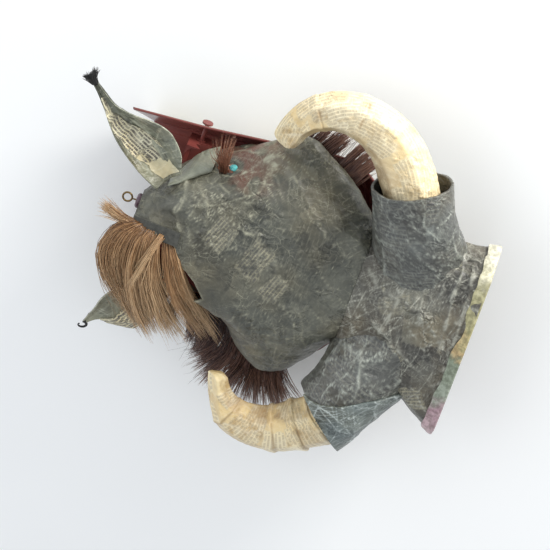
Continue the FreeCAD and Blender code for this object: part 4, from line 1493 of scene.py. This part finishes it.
def make_eye_rim(side, seed):
    """The varnished brown lids: an almond ring of paper round the bead."""
    rows, columns = 26, 90
    sign = SIDES[side]
    facing = unit([0, 0.9 * sign, 0.42])
    across = np.array([1.0, 0, 0])
    up = np.cross(facing, across) * sign
    share = np.linspace(0, 1, rows)[:, None]
    turn = 2 * math.pi * np.arange(columns)[None, :] / columns
    radius = 3.4 + 8.6 * share
    long_way = 1.0 + 0.45 * share
    lift = 2.6 * np.sin(math.pi * np.minimum(share * 1.35, 1)) - 2.2 * share + 0.6
    wrinkle = 0.5 * np.sin(turn * 9 + share * 5) * share
    spot = np.array(EYE_SPOTS[side])
    grid = (
        spot + across * (radius * long_way * np.cos(turn) + 3 * share)[..., None]
        + up * (radius * 0.72 * np.sin(turn))[..., None] + facing * (lift + wrinkle)[..., None]
    )
    if np.mean(grid_normals(grid, True) @ facing) < 0:
        grid = grid[:, ::-1]
    normals = grid_normals(grid, wrap=True)
    grid = grid + normals * ((layered_noise(grid, 4, seed) - 0.5) * 0.8)[..., None]
    points, faces = shell(grid, grid - facing * 1.2, wrap=True)
    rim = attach(make_object(side + "_eye_lids", points, faces, MATERIALS["eye_brown"]), "head")
    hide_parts(side + "_eye_socket")


# The left temple flap in plan, from rear to front: x, and the y of its inner and outer edges.
TEMPLE_EDGES = [(-92, 39, 43), (-84, 43, 53), (-77, 49, 65), (-70, 54, 72), (-64, 58, 76), (-59, 62, 78)]


def make_temple(side, seed):
    """A smooth rounded flap of pale paper that stands out from the temple behind the eye."""
    rows, columns = 80, 60
    sign = SIDES[side]
    table = np.array(TEMPLE_EDGES, float)
    row = spline(table, np.linspace(0, 1, rows))
    share = np.linspace(0, 1, columns)[None, :]
    x = row[:, 0:1] + share * 0
    y = row[:, 1:2] + (row[:, 2:3] - row[:, 1:2]) * share
    inner_z = CROWN - 14 - 0.34 * (x + 92)
    z = inner_z - 24 * share ** 1.35 + 5 * np.sin(math.pi * share)
    grid = np.stack([x, sign * y, z], axis=-1)
    if np.mean(grid_normals(grid)[..., 2]) < 0:
        grid = grid[:, ::-1]
    paste = {"count": 6, "size": 18, "print_share": 0.0}
    how = {"folds": 0.1, "waves": 0.3, "crest_share": 0.25}
    flap = paper_skin(side + "_temple_paper", "head", "temple", grid, 1.0, seed, paste, **how)
    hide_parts(side + "_temple_flap")


# ---------------------------------------------------------------- jaw

JAW_REAR = -144
# The rim's left half in plan, from its rear corner to the front.
RIM_OUTLINE = [
    (JAW_REAR, 78.6), (-70, 86), (-15, 94), (25, 102), (64, 104), (88, 88), (104, 62), (150, 55), (174, 40),
    (184, 16),
]
RIGHT_REAR_CORNER = (-127, -79.5)
FLOOR_INSET = 24.0
NOTCH = 32.0
HALF_CHORD = 77.0
NOTCH_RADIUS = (HALF_CHORD ** 2 + NOTCH ** 2) / (2 * NOTCH)


def jaw_path(count):
    """Places round the rim, from its left rear corner by the front to the right one, and the ways out."""
    left = np.array(RIM_OUTLINE, float)
    right = left[::-1] * (1, -1)
    right[-1] = RIGHT_REAR_CORNER
    outline = np.concatenate([left, right])
    lengths = np.concatenate([[0], np.cumsum(np.linalg.norm(np.diff(outline, axis=0), axis=-1))])
    at = np.linspace(0, lengths[-1], count)
    path = np.stack([np.interp(at, lengths, outline[:, k]) for k in range(2)], axis=-1)
    for _ in range(6):
        path[1:-1] = (path[:-2] + 2 * path[1:-1] + path[2:]) / 4
    way = np.gradient(path, axis=0)
    outward = np.stack([-way[:, 1], way[:, 0]], axis=-1)
    return path, unit_rows(outward)


def jaw_sheet(inset, top, floor, around=420, down=34):
    """The jaw as a grid: down the wall from the rim, round its foot, and in to the floor's middle line."""
    path, outward = jaw_path(around)
    rows = []
    slope = FLOOR_INSET / RIM
    levels = np.linspace(top, floor, down)
    for z in levels:
        ring = path - outward * (inset + slope * (RIM - z))
        rows.append(np.column_stack([ring, np.full(around, z)]))
    foot = rows[-1]
    for share in np.linspace(0, 1, 30)[1:]:
        ring = foot.copy()
        ring[:, 1] = foot[:, 1] * (1 - share)
        rows.append(ring)
    grid = np.array(rows)
    x, y = grid[..., 0], grid[..., 1]
    rear = JAW_REAR + NOTCH - NOTCH_RADIUS + np.sqrt(np.maximum(NOTCH_RADIUS ** 2 - y ** 2, 0))
    limit = np.maximum(rear, JAW_REAR)
    front = 60
    stretched = limit + (x - foot[0, 0]) * (front - limit) / (front - foot[0, 0])
    return np.stack([np.where(x < front, stretched, x), y, grid[..., 2]], axis=-1)


def make_jaw():
    outside = jaw_sheet(0.0, RIM, 0.0)
    inside = jaw_sheet(WALL * 0.55, RIM, 2.4)
    points, faces = shell(outside, inside)
    _, tone, printed, place = pasted_layers(surface_plan(outside), 91, 120, 18, 0.3)
    values = {
        "tone": both_sides(tone), "printed": both_sides(printed), "print_place": both_sides(place),
        "crease": both_sides(crumple(outside, 92, amount=0.3)[1]), "hollow": both_sides(tone * 0),
    }
    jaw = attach(make_object("jaw_paper", points, faces, MATERIALS["jaw"], values), "jaw")
    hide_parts("jaw_shell")
    outer = jaw_sheet(0.3, RIM + 0.3, 2.5)
    inner = jaw_sheet(WALL * 0.55 + 0.9, RIM + 0.3, 3.2)
    points, faces = shell(outer, inner)
    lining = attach(make_object("jaw_red_lining", points, faces, MATERIALS["red"]), "jaw")
    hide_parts("jaw_lining")


# ---------------------------------------------------------------- straps


def make_strap(name, body, chain, node):
    """Webbing bent along a line in Y and Z, with a slight crown and rolled edges."""
    rows, columns = 110, 26
    line = spline(np.array(chain, float), np.linspace(0, 1, rows))
    x_low, x_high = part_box(node)[0][0] / MM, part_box(node)[1][0] / MM
    width = np.linspace(0, 1, columns)
    x = x_low + (x_high - x_low) * width
    edge = smoothstep(0, 0.08, width) * smoothstep(1, 0.92, width)
    grid = np.stack([
        np.broadcast_to(x[None, :], (rows, columns)),
        np.broadcast_to(line[:, 0:1], (rows, columns)),
        line[:, 1:2] + 0.35 * edge[None, :] + 0.8,
    ], axis=-1)
    lower = grid.copy()
    lower[..., 2] -= 1.0 + 0.5 * edge[None, :]
    if np.mean(grid_normals(grid)[..., 2]) < 0:
        grid, lower = grid[:, ::-1], lower[:, ::-1]
    points, faces = shell(grid, lower)
    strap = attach(make_object(name, points, faces, MATERIALS["webbing"]), body)
    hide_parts(node)


def mirrored(half, middle=()):
    """A strap's line in Y and Z, from its right half and what lies between the halves."""
    return half + list(middle) + [(-y, z) for y, z in reversed(half)]


FINGER_CHAIN = mirrored([(-60, CROWN - 9), (-54, CROWN - 22), (-46, CROWN - 32), (-20, CROWN - 34)])
THUMB_CHAIN = mirrored([(-43, 3.3), (-34, 3.4), (-29, 14), (-23, 24)], middle=[(0, 26.6)])


def dress_frame_nodes():
    """New finishes for the frame's own pieces that stay as they are."""
    finishes = {
        "rear_former": "plywood", "screw_eye": "wire", "crest_stub": "plum", "tusk_crossbar": "dowel",
        "mane_strip": "hide_strip", "left_hinge_block": "red_wood", "right_hinge_block": "red_wood",
        "hinge_pins": "red_wood", "hinge_washers": "red_wood",
    }
    for node, material in finishes.items():
        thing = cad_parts[node]
        thing.data.materials.clear()
        thing.data.materials.append(MATERIALS[material])


# ---------------------------------------------------------------- the scene

make_camera()
make_light()
make_floor()

make_head()
make_snout()
make_snout_rim()
make_leaned("nose_board", "nose_board_paper", "nose")
make_leaned("palate_board", "palate_card", "card")
make_leaned("palate_lining", "palate_red", "red")
make_socket("left", 401)
make_socket("right", 421)
make_socket_flap()
make_tusk("left", 501)
make_tusk("right", 521)
make_core("left", 541)
make_core("right", 551)
for side, seed in (("left", 601), ("right", 621)):
    make_ear(side, seed)
    make_ear_lining(side, seed + 40)
    make_temple(side, seed + 80)
    make_eye_rim(side, seed + 120)
    make_bead(side)
    make_lashes(side, seed + 160)
make_tassel()
make_curl()
make_mane()
make_whiskers("left", 480, 71)
make_whiskers("right", 1450, 72)
make_jaw()
make_strap("finger_strap_webbing", "head", FINGER_CHAIN, "finger_strap")
make_strap("thumb_strap_webbing", "jaw", THUMB_CHAIN, "thumb_strap")
dress_frame_nodes()
